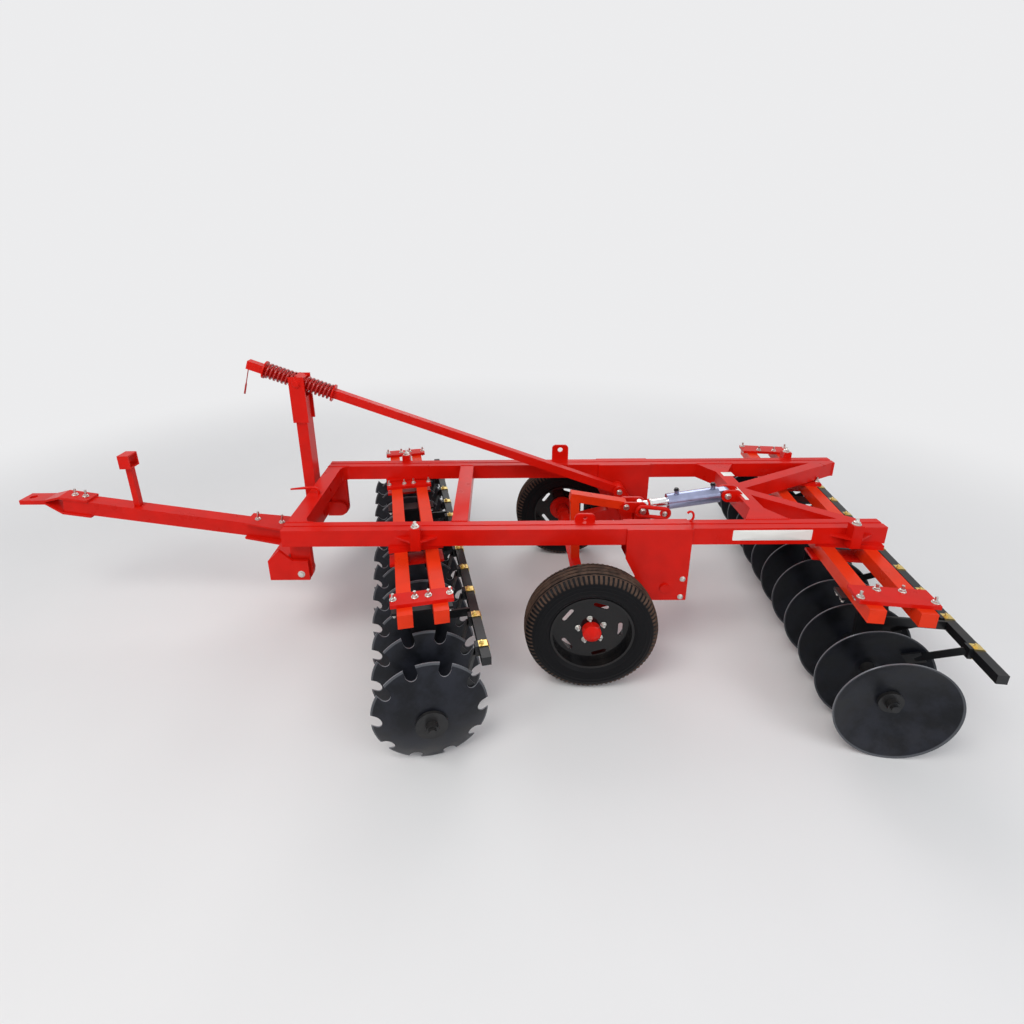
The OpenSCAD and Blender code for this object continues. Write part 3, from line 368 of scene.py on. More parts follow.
def metal_finish(name, colour, worn, rough, metallic, coat, wear=0.3, dust=0.05, tone=0.06, peel=0.05,
                 gloss=0.5, peel_scale=260.0):
    """A Principled material: base colour varied by the wide noise, then scuffs, then dust over both."""
    material, tree, shader = new_material(name, {
        "Metallic": metallic, "Specular IOR Level": gloss, "Coat Weight": coat,
        "Coat Roughness": coat_rough})
    wear_node = add_node(tree, "ShaderNodeGroup", {"Amount": wear}, node_tree=wear_group)
    dust_node = add_node(tree, "ShaderNodeGroup", {"Amount": dust, "Height": dust_height},
                         node_tree=dust_group)
    peel_node = add_node(tree, "ShaderNodeGroup", {"Scale": peel_scale}, node_tree=peel_group)
    deep = tuple(c * (1 - tone) for c in colour[:3]) + (1.0,)
    pale = tuple(min(1.0, c * (1 + tone)) for c in colour[:3]) + (1.0,)
    varied = mix_colour(tree, ramp(tree, peel_node.outputs["Tone"], 0.3, 0.7), deep, pale)
    rubbed = mix_colour(tree, wear_node.outputs["Mask"], varied, worn)
    dusted = mix_colour(tree, dust_node.outputs["Mask"], rubbed, soil)
    tree.links.new(dusted, shader.inputs["Base Color"])
    uneven = math_node(tree, "MULTIPLY", peel_node.outputs["Tone"], tone_rough)
    clean = math_node(tree, "ADD", uneven, rough - tone_rough / 2)
    add_roughness(tree, shader, clean, dust_node.outputs["Mask"], dust_rough)
    add_bump(tree, shader, peel_node.outputs["Height"], peel, peel_depth)
    return material


primer = (0.30, 0.24, 0.22, 1.0)
bare = (0.42, 0.41, 0.40, 1.0)
red = (0.64, 0.008, 0.003, 1)
orange = (0.78, 0.036, 0.006, 1)
spring_red = (0.40, 0.008, 0.006, 1)
black = (0.010, 0.011, 0.013, 1)
rim = (0.004, 0.004, 0.005, 1)
# The barrel's silver film, tinted blue as a painted reflection of the sky.
sky_tinted_film = (0.31, 0.34, 0.50, 1)
chrome = (0.80, 0.81, 0.82, 1)
zinc = (0.62, 0.61, 0.58, 1)
yellow_zinc = (0.66, 0.50, 0.18, 1)
label_white = (0.82, 0.82, 0.78, 1)
finish_values = {
    "red_paint": dict(colour=red, worn=primer, rough=0.30, metallic=0.0, coat=0.05, wear=0.12,
                      dust=0.03, gloss=0.12),
    "orange_paint": dict(colour=orange, worn=primer, rough=0.30, metallic=0.0, coat=0.05, wear=0.12,
                         dust=0.03, gloss=0.12),
    "spring_paint": dict(colour=spring_red, worn=bare, rough=0.26, metallic=0.0, coat=0.5, wear=0.15,
                         dust=0.03, gloss=0.3),
    "black_steel": dict(colour=black, worn=bare, rough=0.36, metallic=0.0, coat=0.05, wear=0.15, gloss=0.3),
    "rim_black": dict(colour=rim, worn=bare, rough=0.22, metallic=0.0, coat=0.4, wear=0.05,
                      dust=0.03, gloss=0.15),
    "cylinder_paint": dict(colour=sky_tinted_film, worn=bare, rough=0.20, metallic=0.7, coat=0.3, wear=0.2,
                           dust=0.03, tone=0.25, peel=0.6, peel_scale=55.0),
    "rod_chrome": dict(colour=chrome, worn=bare, rough=0.14, metallic=1.0, coat=0.0, wear=0.0, tone=0.05),
    "zinc": dict(colour=zinc, worn=bare, rough=0.32, metallic=1.0, coat=0.0, tone=0.1),
    "yellow_zinc": dict(colour=yellow_zinc, worn=bare, rough=0.30, metallic=1.0, coat=0.0),
    "label_white": dict(colour=label_white, worn=primer, rough=0.4, metallic=0.0, coat=0.1, wear=0.1,
                        tone=0.03),
}
finishes = {name: metal_finish(name, **values) for name, values in finish_values.items()}
print("finishes", sorted(finishes))

# %% [markdown]
# ## The discs' black steel
# A new disc is blue-black from heat treatment and oil, with faint rings from rolling. A pale grey on the
# ground bevel at the rim and on the cut edges, in the notches too, is partly bare steel and partly a
# painted highlight along these edges. An image could carry this, but every disc would need a UV map. The
# rings only need the distance from the gang's axle, which is the length of the X and Z parts once a Mapping
# node has turned Object coordinates into the gang's own axes. An edge is known by its normal, which stands
# square to the axle.

# %% Disc finish
axle_z = 0.305
ring_rate = 1400.0
rim_band_from, rim_band_to = 0.293, 0.298
steel_dark, steel_pale = (0.006, 0.007, 0.010, 1), (0.016, 0.018, 0.026, 1)
# The pale grey of the rim band and the edges is ground steel, brightened as a painted highlight.
ground_and_highlight_grey, disc_soil = (0.20, 0.21, 0.23, 1), (0.20, 0.17, 0.14, 1)


def disc_finish(name, gang_x, turn):
    """Rings and a rim band by the distance to the axle, and pale edges where the normal is square to it:
    ground steel with a painted highlight.
    """
    material, tree, shader = new_material(name, {"Metallic": 0.3, "Specular IOR Level": 0.3})
    where = add_node(tree, "ShaderNodeTexCoord")
    c, s = math.cos(-turn), math.sin(-turn)
    moved = {"Location": (-c * gang_x, -s * gang_x, -axle_z), "Rotation": (0.0, 0.0, -turn)}
    local = add_node(tree, "ShaderNodeMapping", moved, {"Vector": where.outputs["Object"]})
    parts = add_node(tree, "ShaderNodeSeparateXYZ", links={0: local.outputs[0]})
    reach = distance(tree, parts.outputs["X"], parts.outputs["Z"])
    waves = math_node(tree, "SINE", math_node(tree, "MULTIPLY", reach, ring_rate))
    rings = math_node(tree, "MULTIPLY", waves, 0.5)
    noise = noise_node(tree, where, 9.0, 8.0, 0.62)
    cloud = ramp(tree, noise.outputs["Fac"], 0.35, 0.68)
    # The rim band and the edges square to the axle are painted pale: ground steel plus a painted highlight
    # along them.
    rim_band = math_node(tree, "MULTIPLY", ramp(tree, reach, rim_band_from, rim_band_to), 0.4)
    face = add_node(tree, "ShaderNodeNewGeometry")
    axle_way = (-math.sin(turn), math.cos(turn), 0.0)
    lean = add_node(tree, "ShaderNodeVectorMath", {1: axle_way}, {0: face.outputs["Normal"]},
                    operation="DOT_PRODUCT")
    flat = ramp(tree, math_node(tree, "ABSOLUTE", lean.outputs["Value"]), 0.30, 0.60)
    edge = math_node(tree, "MAXIMUM", rim_band, math_node(tree, "SUBTRACT", 1.0, flat))
    dust_node = add_node(tree, "ShaderNodeGroup", {"Amount": 0.06, "Height": 0.45}, node_tree=dust_group)
    steel = mix_colour(tree, cloud, steel_dark, steel_pale)
    # Painted highlight on ground steel along the rim and the cut edges.
    steel_with_painted_edges = mix_colour(tree, edge, steel, ground_and_highlight_grey)
    dusted = mix_colour(tree, dust_node.outputs["Mask"], steel_with_painted_edges, disc_soil)
    tree.links.new(dusted, shader.inputs["Base Color"])
    clean = math_node(tree, "ADD", math_node(tree, "MULTIPLY", cloud, 0.14), 0.32)
    add_roughness(tree, shader, clean, dust_node.outputs["Mask"], 0.4)
    height = math_node(tree, "ADD", rings, math_node(tree, "MULTIPLY", noise.outputs["Fac"], 2.0))
    add_bump(tree, shader, height, 0.06, 0.001)
    return material


front_turn, rear_turn = math.radians(11.5), math.radians(-8.0)
front_x, rear_x = -0.314, 2.519
finishes["front_disc_steel"] = disc_finish("front_disc_steel", front_x, front_turn)
finishes["rear_disc_steel"] = disc_finish("rear_disc_steel", rear_x, rear_turn)
print("disc finishes for gangs at X", front_x, rear_x)

# %% [markdown]
# ## Tyre rubber
# The tyres are dark rubber. Brown dust lies on the ribs of the tread and on the small blocks of the
# shoulders, while the grooves and the sidewalls stay black. A mask could be painted, but the zones follow
# from the tyre's own sizes: the distance from the wheel's axle and from its middle plane tells them
# apart, and the angle round the axle tells a block from a slot.

# %% Rubber finish
hub_x, hub_z, wheel_y = 0.854339, 0.400, 0.747
slot_count, shoulder_y = 84, 0.060
block_reach, rib_reach = (0.352, 0.364), (0.3905, 0.3935)
rubber_black, rubber_dust = (0.006, 0.006, 0.007, 1), (0.125, 0.076, 0.054, 1)


def rubber_finish():
    """Dark rubber with dust on ribs and blocks: zones by radius, distance from the middle and angle."""
    material, tree, shader = new_material("tyre_rubber", {"Specular IOR Level": 0.1})
    where = add_node(tree, "ShaderNodeTexCoord")
    local = add_node(tree, "ShaderNodeMapping", {"Location": (-hub_x, 0.0, -hub_z)},
                     {"Vector": where.outputs["Object"]})
    parts = add_node(tree, "ShaderNodeSeparateXYZ", links={0: local.outputs[0]})
    x, y, z = (parts.outputs[axis] for axis in "XYZ")
    reach = distance(tree, x, z)
    from_wheel = math_node(tree, "SUBTRACT", math_node(tree, "ABSOLUTE", y), wheel_y)
    outer = ramp(tree, math_node(tree, "ABSOLUTE", from_wheel), shoulder_y - 0.002, shoulder_y + 0.002)
    inner = math_node(tree, "SUBTRACT", 1.0, outer)
    angle = math_node(tree, "ARCTAN2", z, x)
    turn = math_node(tree, "SINE", math_node(tree, "MULTIPLY", angle, float(slot_count)))
    block = math_node(tree, "SUBTRACT", 1.0, ramp(tree, turn, -0.3, 0.3))
    outer_block = math_node(tree, "MULTIPLY", outer, block)
    shoulder = math_node(tree, "MULTIPLY", outer_block, ramp(tree, reach, *block_reach))
    rib = math_node(tree, "MULTIPLY", inner, ramp(tree, reach, *rib_reach))
    noise = noise_node(tree, where, 14.0, 9.0, 0.7)
    grain = noise_node(tree, where, 420.0, 2.0)
    patches = math_node(tree, "MULTIPLY", ramp(tree, noise.outputs["Fac"], 0.30, 0.66), 0.6)
    cloud = math_node(tree, "ADD", patches, 0.25)
    film = math_node(tree, "MULTIPLY", math_node(tree, "MAXIMUM", shoulder, rib), cloud, clamp=True)
    colour = mix_colour(tree, film, rubber_black, rubber_dust)
    tree.links.new(colour, shader.inputs["Base Color"])
    add_roughness(tree, shader, 0.42, film, 0.4)
    add_bump(tree, shader, grain.outputs["Fac"], 0.12, 0.001)
    return material


finishes["tyre_rubber"] = rubber_finish()
print("rubber for", slot_count, "slots round the tyre")

# %% [markdown]
# ## Dressing the model
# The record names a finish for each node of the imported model. Both gangs share one finish there, but
# their rings run round different axles, so each gang gets its own copy. A new piece is dressed by one
# function, which makes the mesh, lets it ride on a body and gives it the finish that its slot names.

# %% Dress the nodes and the new pieces
sharp_from = math.radians(40)


def make_piece(name, shape, body, slot):
    """A mesh object with its place in its mesh, riding on a body and wearing the finish of its slot."""
    points, faces = shape
    mesh = bpy.data.meshes.new(name)
    mesh.from_pydata(points.tolist(), [], faces.tolist())
    mesh.validate()
    mesh.polygons.foreach_set("use_smooth", np.ones(len(mesh.polygons), bool))
    mesh.set_sharp_from_angle(angle=sharp_from)
    mesh.materials.append(finishes[slot])
    piece = bpy.data.objects.new(name, mesh)
    bpy.context.scene.collection.objects.link(piece)
    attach(piece, body)
    return piece


slot_of = {row["node"]: row["material_slot"] for row in frame["record"]["subparts"]}
for name, node in nodes.items():
    finish = slot_of[name]
    if finish == "disc_steel":
        finish = "front_disc_steel" if name.startswith("front") else "rear_disc_steel"
    node.data.materials.clear()
    node.data.materials.append(finishes[finish])
print("dressed", len(nodes), "nodes")

# %% [markdown]
# ## Places on the machine
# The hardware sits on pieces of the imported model, so its places come from the boxes of those pieces and
# from the pins of the linkage. A gang stands at an angle to the main frame, so it has axes of its own: n
# runs across the gang, s along it.

# %% Places
left_beam_low, left_beam_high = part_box("left_beam")
frame_top = left_beam_high[2]
beam_bottom = left_beam_low[2]
beam_out = -left_beam_low[1]
beam_in = -left_beam_high[1]
tube_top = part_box("front_gang_tubes")[1][2]
tube_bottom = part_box("front_gang_tubes")[0][2]
tie_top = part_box("front_tie_plates")[1][2]
clamp_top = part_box("front_clamps")[1][2]
foot_plate = 0.016
foot_bottom = tube_bottom - foot_plate
scraper_z, scraper_half = 0.600, 0.025
disc_spacing, disc_count = 0.238, 12
gangs = {
    "front": {"x": front_x, "turn": front_turn, "spacing": 0.188, "bar": 0.295, "first_hold": -1.245,
              "stagger": 0.0, "hangers": (-0.989, -0.275, 0.201, 0.915)},
    "rear": {"x": rear_x, "turn": rear_turn, "spacing": 0.240, "bar": 0.375, "first_hold": -1.162,
             "stagger": 0.040, "hangers": (-0.915, -0.201, 0.275, 0.989)},
}
tie_places = (-1.057, -0.390, 0.390, 1.057)
gang_tube, plate_overhang = 0.080, 0.033
lift_pin = np.array([1.342, 0.0, 0.535])
lever_pin = np.array([1.294, -0.042, 0.840])
base_pin = np.array([1.877, -0.042, 0.930])
rod_pin = np.array([1.216, 0.300, 0.799])
trunnion = np.array([-1.110, 0.300, 1.669])
hinge_pin = np.array([-0.958, 0.0, 0.600])
rod_axis = (trunnion - rod_pin) / np.linalg.norm(trunnion - rod_pin)
rod_above = np.cross([0.0, 1.0, 0.0], rod_axis)
cylinder_axis = (lever_pin - base_pin) / np.linalg.norm(lever_pin - base_pin)
cylinder_above = np.cross([0.0, 1.0, 0.0], cylinder_axis)
right_way = np.array([0.0, 1.0, 0.0])


def on_gang(gang, n, s, z):
    """A point along a gang's own axes, in the model's frame: turned about Z and moved to the gang's X."""
    c, k = math.cos(gang["turn"]), math.sin(gang["turn"])
    return np.array([gang["x"] + n * c - s * k, n * k + s * c, z])


print("frame top", round(float(frame_top), 3), "tie top", round(float(tie_top), 3))

# %% [markdown]
# ## Tyres
# This road tyre has plain ribs round its tread and a fine row of short slots on each shoulder. The
# section is a smooth curve from bead to bead, turned round the axle. The pattern is a depth that is taken
# off the radius: grooves that run round the tyre, with a slight wave, and slots that repeat with the
# wheel's angle. A displacement map could press it in while rendering, but then the mesh itself would stay
# smooth.

# %% Tyres with tread
tyre_r, bead_r, tyre_half = 0.400, 0.241, 0.098
section_heights = (0.0, 0.06, 0.12, 0.3, 0.5, 0.7, 0.85, 0.94, 0.98, 1.0)
section_halves = (0.76, 0.76, 0.88, 0.97, 1.0, 0.97, 0.88, 0.72, 0.45, 0.0)
groove_depth, groove_half, groove_wave, slot_depth = 0.011, 0.0045, 0.002, 0.006
groove_lines = (-0.045, -0.015, 0.015, 0.045)
wall_rings, ring_height = (0.270, 0.318, 0.338), 0.0018
slot_start, slot_end, crown_start = (0.354, 0.362), (0.389, 0.393), (0.365, 0.385)


def smooth_step(value, low, high):
    """0 below low, 1 above high, and a smooth cubic between."""
    t = np.clip((value - low) / (high - low), 0, 1)
    return t * t * (3 - 2 * t)


def tyre_section(samples):
    """The outer curve from bead to bead, resampled by its length and rounded by averaging neighbours."""
    heights = np.concatenate([section_heights, section_heights[-2::-1]])
    halves = np.concatenate([section_halves, -np.array(section_halves[-2::-1])])
    curve = np.stack([bead_r + (tyre_r - bead_r) * heights, tyre_half * halves], axis=1)
    length = np.concatenate([[0], np.cumsum(np.linalg.norm(np.diff(curve, axis=0), axis=1))])
    at = np.linspace(0, length[-1], samples)
    fine = np.stack([np.interp(at, length, curve[:, 0]), np.interp(at, length, curve[:, 1])], axis=1)
    for _ in range(6):
        fine[1:-1] = (fine[:-2] + 2 * fine[1:-1] + fine[2:]) / 4
    return fine


def treaded_tyre(side, samples=110, steps_per_slot=4):
    """Radius less a depth: grooves where a waved line is near, slots by the wheel's angle."""
    section = tyre_section(samples)
    steps = slot_count * steps_per_slot
    angle = np.arange(steps) * 2 * np.pi / steps
    r, y = section[:, None, 0], section[:, None, 1]
    wave = groove_wave * np.sin(angle[None, :] * slot_count / 4)
    off_line = [np.abs(y - line - wave) for line in groove_lines]
    grooves = [1 - smooth_step(off, groove_half, groove_half + 0.003) for off in off_line]
    phase = np.arange(steps)[None, :] % steps_per_slot
    slot = (phase < steps_per_slot / 2) * smooth_step(np.abs(y), shoulder_y, shoulder_y + 0.003)
    slot = slot * smooth_step(r, *slot_start) * (1 - smooth_step(r, *slot_end))
    crown = smooth_step(r, *crown_start)
    depth = np.maximum(groove_depth * np.sum(grooves, axis=0) * crown, slot_depth * slot)
    lines = sum(ring_height * (1 - smooth_step(np.abs(r - ring), 0.0015, 0.003)) for ring in wall_rings)
    across = y + np.sign(y) * lines
    radius = r - depth
    points = np.stack([hub_x + radius * np.cos(angle), side * wheel_y + across + 0 * angle,
                       hub_z + radius * np.sin(angle)], axis=2)
    return points.reshape(-1, 3), grid_faces(samples, steps, close_rows=True, close_columns=True)


wheel_sides = ((-1, "left_wheel"), (1, "right_wheel"))
for side, body in wheel_sides:
    shape = treaded_tyre(side)
    tyre = make_piece(body.replace("wheel", "treaded_tyre"), shape, body, "tyre_rubber")
    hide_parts(body.replace("wheel", "tyre"))
    print(tyre.name, len(shape[1]), "faces")

# %% [markdown]
# ## Springs
# Two coil springs push the levelling rod from both sides of its block, so the drawbar can give a little
# on rough ground. A coil is a round wire along a helix: the place along the rod grows evenly with the
# angle. Blender's Screw modifier can turn a circle into a coil too. The formula was chosen because both
# ends land exactly on the washers.

# %% Springs
rod_length = np.linalg.norm(trunnion - rod_pin)
block_half, spring_length, spring_turns = 0.030, 0.215, 7
spring_r, wire_r = 0.058, 0.008
coil_r = spring_r - wire_r


def coil(start):
    """Points along the rod's axis plus a circle square to it, the wire's own radius kept off both ends."""
    angle = np.linspace(0, 2 * np.pi * spring_turns, 42 * spring_turns)[:, None]
    run = start + wire_r + (spring_length - 2 * wire_r) * angle / angle[-1]
    return rod_pin + run * rod_axis + coil_r * (np.cos(angle) * right_way + np.sin(angle) * rod_above)


spring_starts = {"front_spring": rod_length + block_half,
                 "rear_spring": rod_length - block_half - spring_length}
for name, start in spring_starts.items():
    spring = make_piece("smooth_" + name, sweep(coil(start), wire_r), "leveller", "spring_paint")
    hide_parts(name)
print("springs", spring_turns, "turns each")

# %% [markdown]
# ## Bolts, nuts and pins
# A hexagon head is a profile turned in six steps, with its top corners taken off. A nut has the bolt's
# thread above it, drawn as rings. A pin's head is a round button on a washer. Bevelled cylinders would
# come close, but a turned profile keeps head, washer and thread in one small mesh, which is made once and
# copied to all its places.

# %% Hardware shapes
def hex_head(corner_r, height):
    """A six-sided head on a round washer, standing on Z 0."""
    head = turn_profile([(0, height), (0.82 * corner_r, height), (corner_r, 0.86 * height),
                         (corner_r, 0)], 6)
    washer = turn_profile([(0.5 * corner_r, 0.24 * height), (1.22 * corner_r, 0.24 * height),
                           (1.28 * corner_r, 0.18 * height), (1.28 * corner_r, 0)], 24)
    return join_shapes([head, washer])


def nut_and_thread(corner_r, height, stick_out):
    """A nut with the bolt's end above it: the thread's radius goes in and out with the height."""
    rings = 14
    z = np.linspace(height + stick_out, 0.8 * height, rings)
    r = 0.52 * corner_r * (1 - 0.07 * (np.arange(rings) % 2))
    stud = turn_profile(np.concatenate([[(0, z[0])], np.stack([r, z], axis=1)]), 14)
    return join_shapes([hex_head(corner_r, height), stud])


def pin_head(radius, height):
    """A round button with a rounded rim, on a wider washer."""
    bend = np.radians(np.linspace(90, 0, 6))
    round_r = radius * (0.75 + 0.25 * np.cos(bend))
    round_z = height * (0.6 + 0.4 * np.sin(bend))
    round_off = np.stack([round_r, round_z], axis=1)
    button = turn_profile(np.concatenate([[(0, height)], round_off, [(radius, 0)]]), 28)
    washer = turn_profile([(0.5 * radius, 0.3 * height), (1.3 * radius, 0.3 * height),
                           (1.36 * radius, 0.22 * height), (1.36 * radius, 0)], 28)
    return join_shapes([button, washer])


up, down = np.array([0.0, 0.0, 1.0]), np.array([0.0, 0.0, -1.0])
both = (-1, 1)
print("hardware shapes ready")

# %% [markdown]
# ## Bolts on the frame
# Bolts hold the tie plates on the gang tubes, the clamps on the beams and the hangers below. Their places
# are worked out along the gang's own axes, so the bolts follow its angle. Linked objects would make a
# smaller file, but one joined mesh rides on its body as one piece.

# %% Bolts on the frame
hanger_bolt_half, block_inset, middle_inset, base_ear_half = 0.030, 0.030, 0.018, 0.052
tie_bolts, foot_nuts, block_bolts = [], [], []
for gang in gangs.values():
    ends = gang["spacing"] / 2 + gang_tube / 2 + plate_overhang / 2
    middles = gang["spacing"] / 2 - gang_tube / 2 - middle_inset
    for s in tie_places:
        out = math.copysign(gang["stagger"] if abs(s) > 0.5 else 0.0, s)
        tie_bolts += [place(on_gang(gang, k * ends, s + out, tie_top), up, 0.4) for k in both]
        tie_bolts += [place(on_gang(gang, k * middles, s - out, tie_top), up, 0.9) for k in both]
        foot_nuts += [place(on_gang(gang, k * ends, s, tube_top), down, 0.3) for k in both]
    for s in [hanger + k * hanger_bolt_half for hanger in gang["hangers"] for k in both]:
        foot_nuts += [place(on_gang(gang, k * ends, s, foot_bottom), down, 0.2) for k in both]
    block_y = beam_out + block_inset
    block_x = [gang["x"] - k * math.tan(gang["turn"]) * block_y for k in both]
    block_bolts += [place((x, k * block_y, clamp_top), up, 0.5) for x, k in zip(block_x, both)]
bracket_low, bracket_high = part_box("wheel_brackets")
bracket_places = ((1.449, 0.598), (1.446, 0.468))
bracket_y = bracket_high[1]
bracket_bolts = [place((x, k * bracket_y, z), (0, k, 0), 0.2) for k in both for x, z in bracket_places]
base_heads = [place(base_pin + k * base_ear_half * right_way, k * right_way) for k in both]
frame_hardware = join_shapes([
    copies(nut_and_thread(0.015, 0.014, 0.022), tie_bolts),
    copies(nut_and_thread(0.014, 0.013, 0.010), foot_nuts),
    copies(nut_and_thread(0.020, 0.018, 0.016), block_bolts),
    copies(hex_head(0.014, 0.012), bracket_bolts),
    copies(pin_head(0.017, 0.012), base_heads)])
make_piece("frame_bolts", frame_hardware, "frame", "zinc")
print("frame bolts", len(tie_bolts) + len(foot_nuts) + len(block_bolts) + len(bracket_bolts))

# %% [markdown]
# ## Bolts on the drawbar
# Long bolts clamp the yoke and the hitch straps to the drawbar's tube, and pins hold the hinge and the
# mast's fork. The drawbar slopes, so a small function finds the place on its top or its underside for a
# given X.

# %% Bolts on the drawbar
drawbar_slope = math.radians(8.9)
drawbar_way = np.array([-math.cos(drawbar_slope), 0.0, math.sin(drawbar_slope)])
drawbar_up = np.array([math.sin(drawbar_slope), 0.0, math.cos(drawbar_slope)])
drawbar_foot = np.array([-1.163, 0.0, 0.623])


def on_drawbar(x, lift):
    """The point over the sloped drawbar's axis at a given X, lifted square to the tube."""
    run = (drawbar_foot[0] - x) / -drawbar_way[0]
    return drawbar_foot + run * drawbar_way + lift * drawbar_up


yoke_places, yoke_half = (-1.437, -1.267), 0.064
strap_places, strap_half = (-2.712, -2.639), 0.0672
yoke_bolts = [place(on_drawbar(x, yoke_half), drawbar_up, 0.3) for x in yoke_places]
under_heads = [place(on_drawbar(x, -yoke_half), -drawbar_up, 0.3) for x in yoke_places]
strap_bolts = [place(on_drawbar(x, strap_half), drawbar_up, 0.1) for x in strap_places]
under_heads += [place(on_drawbar(x, -strap_half), -drawbar_up, 0.1) for x in strap_places]
fork_low, fork_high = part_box("mast_fork")
fork_faces = ((fork_low[1], -right_way), (fork_high[1], right_way))
fork_pins = [place((trunnion[0], y, trunnion[2]), way) for y, way in fork_faces]
hinge_low, hinge_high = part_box("hinge_beam")
hinge_faces = ((hinge_low[1], -right_way), (hinge_high[1], right_way))
hinge_heads = [place((hinge_pin[0], y, hinge_pin[2]), way) for y, way in hinge_faces]
drawbar_hardware = join_shapes([
    copies(nut_and_thread(0.016, 0.014, 0.048), yoke_bolts),
    copies(nut_and_thread(0.016, 0.014, 0.034), strap_bolts),
    copies(hex_head(0.016, 0.012), under_heads),
    copies(hex_head(0.018, 0.014), hinge_heads)])
make_piece("drawbar_bolts", drawbar_hardware, "drawbar", "zinc")
fork_heads = copies(pin_head(0.024, 0.013), fork_pins)
make_piece("fork_pin_heads", fork_heads, "drawbar", "red_paint")
print("drawbar bolts", len(yoke_bolts) + len(strap_bolts), "fork pin heads", len(fork_pins))

# %% [markdown]
# ## Pin heads on the lift
# The levers of the lift turn on pins whose heads stand on the outer faces of the plates. The plates hide
# the pins, so only the heads are made. The pin that also carries the lock link is longer, and a collar
# fills that length.

# %% Pin heads on the lift
ear_pin = lever_pin + np.array([-0.105, 0.0, 0.012])
lever_face, link_depth = 0.050, 0.042
head_places = [(pin, k, lever_face) for pin in (ear_pin, rod_pin) for k in both]
head_places += [(lever_pin, 1, lever_face), (lever_pin, -1, lever_face + link_depth)]
lift_heads = [place(pin + k * out * right_way, k * right_way) for pin, k, out in head_places]
link_collar = turn_profile([(0, link_depth), (0.017, link_depth), (0.017, 0)], 24)
collar_place = place(lever_pin - lever_face * right_way, -right_way)
lift_pins = join_shapes([copies(pin_head(0.016, 0.012), lift_heads), copies(link_collar, [collar_place])])
make_piece("lift_pin_heads", lift_pins, "lift", "zinc")
print("pin heads", len(lift_heads))

# %% [markdown]
# ## Nuts and caps of the wheels
# Five nuts hold each wheel, and a red cap closes its hub. The nuts stand on a circle, so their places are
# the cosine and sine of five angles. The cap is a profile turned round the axle, as a lathe would make
# it.

# %% Nuts and caps of the wheels
nut_circle_r, wheel_face, hub_front = 0.080, 0.0354, 0.074
nut_turns = np.radians(26 + 72 * np.arange(5))
wheel_nut = nut_and_thread(0.014, 0.014, 0.010)
cap_profile = [(0, 0.026), (0.018, 0.026), (0.024, 0.023), (0.040, 0.012), (0.050, 0.008), (0.054, 0.004),
               (0.054, 0.0)]
cap = turn_profile(cap_profile, 40)
for side, body in wheel_sides:
    outwards = side * right_way
    face_y, cap_y = side * (wheel_y + wheel_face), side * (wheel_y + hub_front)
    nut_x, nut_z = hub_x + nut_circle_r * np.cos(nut_turns), hub_z + nut_circle_r * np.sin(nut_turns)
    nut_places = [place((x, face_y, z), outwards, t) for x, z, t in zip(nut_x, nut_z, nut_turns)]
    nuts = copies(wheel_nut, nut_places)
    make_piece(body + "_nuts", nuts, body, "zinc")
    hub_cap = copies(cap, [place((hub_x, cap_y, hub_z), outwards)])
    make_piece(body + "_cap", hub_cap, body, "red_paint")
print("wheel nuts", len(nut_turns), "on each wheel")

# %% [markdown]
# ## Clips on the scraper bars
# Each scraper is held to its bar by a bent strap of yellow zinc-plated steel with a nut on top. The strap
# is a flat section swept round the bar's back. A Curve object with a flat bevel shape would bend the same
# way, but a sweep is a mesh at once.

# %% Clips
strap_section = np.array([(-0.12, -1.0), (0.12, -1.0), (0.12, 1.0), (-0.12, 1.0)])
strap_half_width, strap_bend, strap_tail = 0.022, 0.010, 0.012


def clip_path(bar, gap=0.003):
    """Round the bar in the plane of n and Z: over the top, round two corners at the back and out below."""
    near, far, top = bar - scraper_half - strap_tail, bar + scraper_half + gap, scraper_half + gap
    bend = strap_bend
    turned = np.concatenate([
        [(near, top)], arc((far - bend, top - bend), (0, bend), (bend, 0), 0, 90, 6),
        arc((far - bend, bend - top), (bend, 0), (0, -bend), 0, 90, 6), [(near, -top)]])
    return np.stack([turned[:, 0], 0 * turned[:, 0], turned[:, 1]], axis=1)


clips = []
clip_nut = nut_and_thread(0.011, 0.009, 0.008)
for gang in gangs.values():
    c, k = math.cos(gang["turn"]), math.sin(gang["turn"])
    on_top = place((gang["bar"] - 0.008, 0.0, scraper_half + 0.006), (0, 0, 1), 0.2)
    strap = sweep(clip_path(gang["bar"]), strap_half_width, strap_section)
    shape = join_shapes([strap, copies(clip_nut, [on_top])])
    for i in range(disc_count - 1):
        foot = on_gang(gang, 0.0, gang["first_hold"] + i * disc_spacing, scraper_z)
        clips.append(copies(shape, [np.column_stack([(c, k, 0), (-k, c, 0), (0, 0, 1), foot])]))
make_piece("scraper_clips", join_shapes(clips), "frame", "yellow_zinc")
print("clips", len(clips))

# %% [markdown]
# ## Weld beads
# The frame is welded from square tube and plate. A bead is a thin bar along a seam whose radius swells
# and shrinks a little, as each drop of the weld sets on the one before. Half of it lies in the steel. A
# bump pattern could draw it on a face, but a bead also shows at the outline of a corner.

# %% Welds
bead_section = round_section(8)
ring_steps = 90


def ripple(count):
    """Shares of a bead's radius: 1 plus a sine that runs on with every step along the seam."""
    return 1 + 0.16 * np.sin(np.arange(count) * 1.9)


def bead(start, end, radius=0.005, step=0.004):
    """A straight bead: the radius varies with the place along the seam, once every drop."""
    start, end = np.asarray(start, float), np.asarray(end, float)
    count = max(4, int(np.linalg.norm(end - start) / step))
    t = np.linspace(0, 1, count)[:, None]
    return sweep(start + t * (end - start), radius * ripple(count), bead_section)


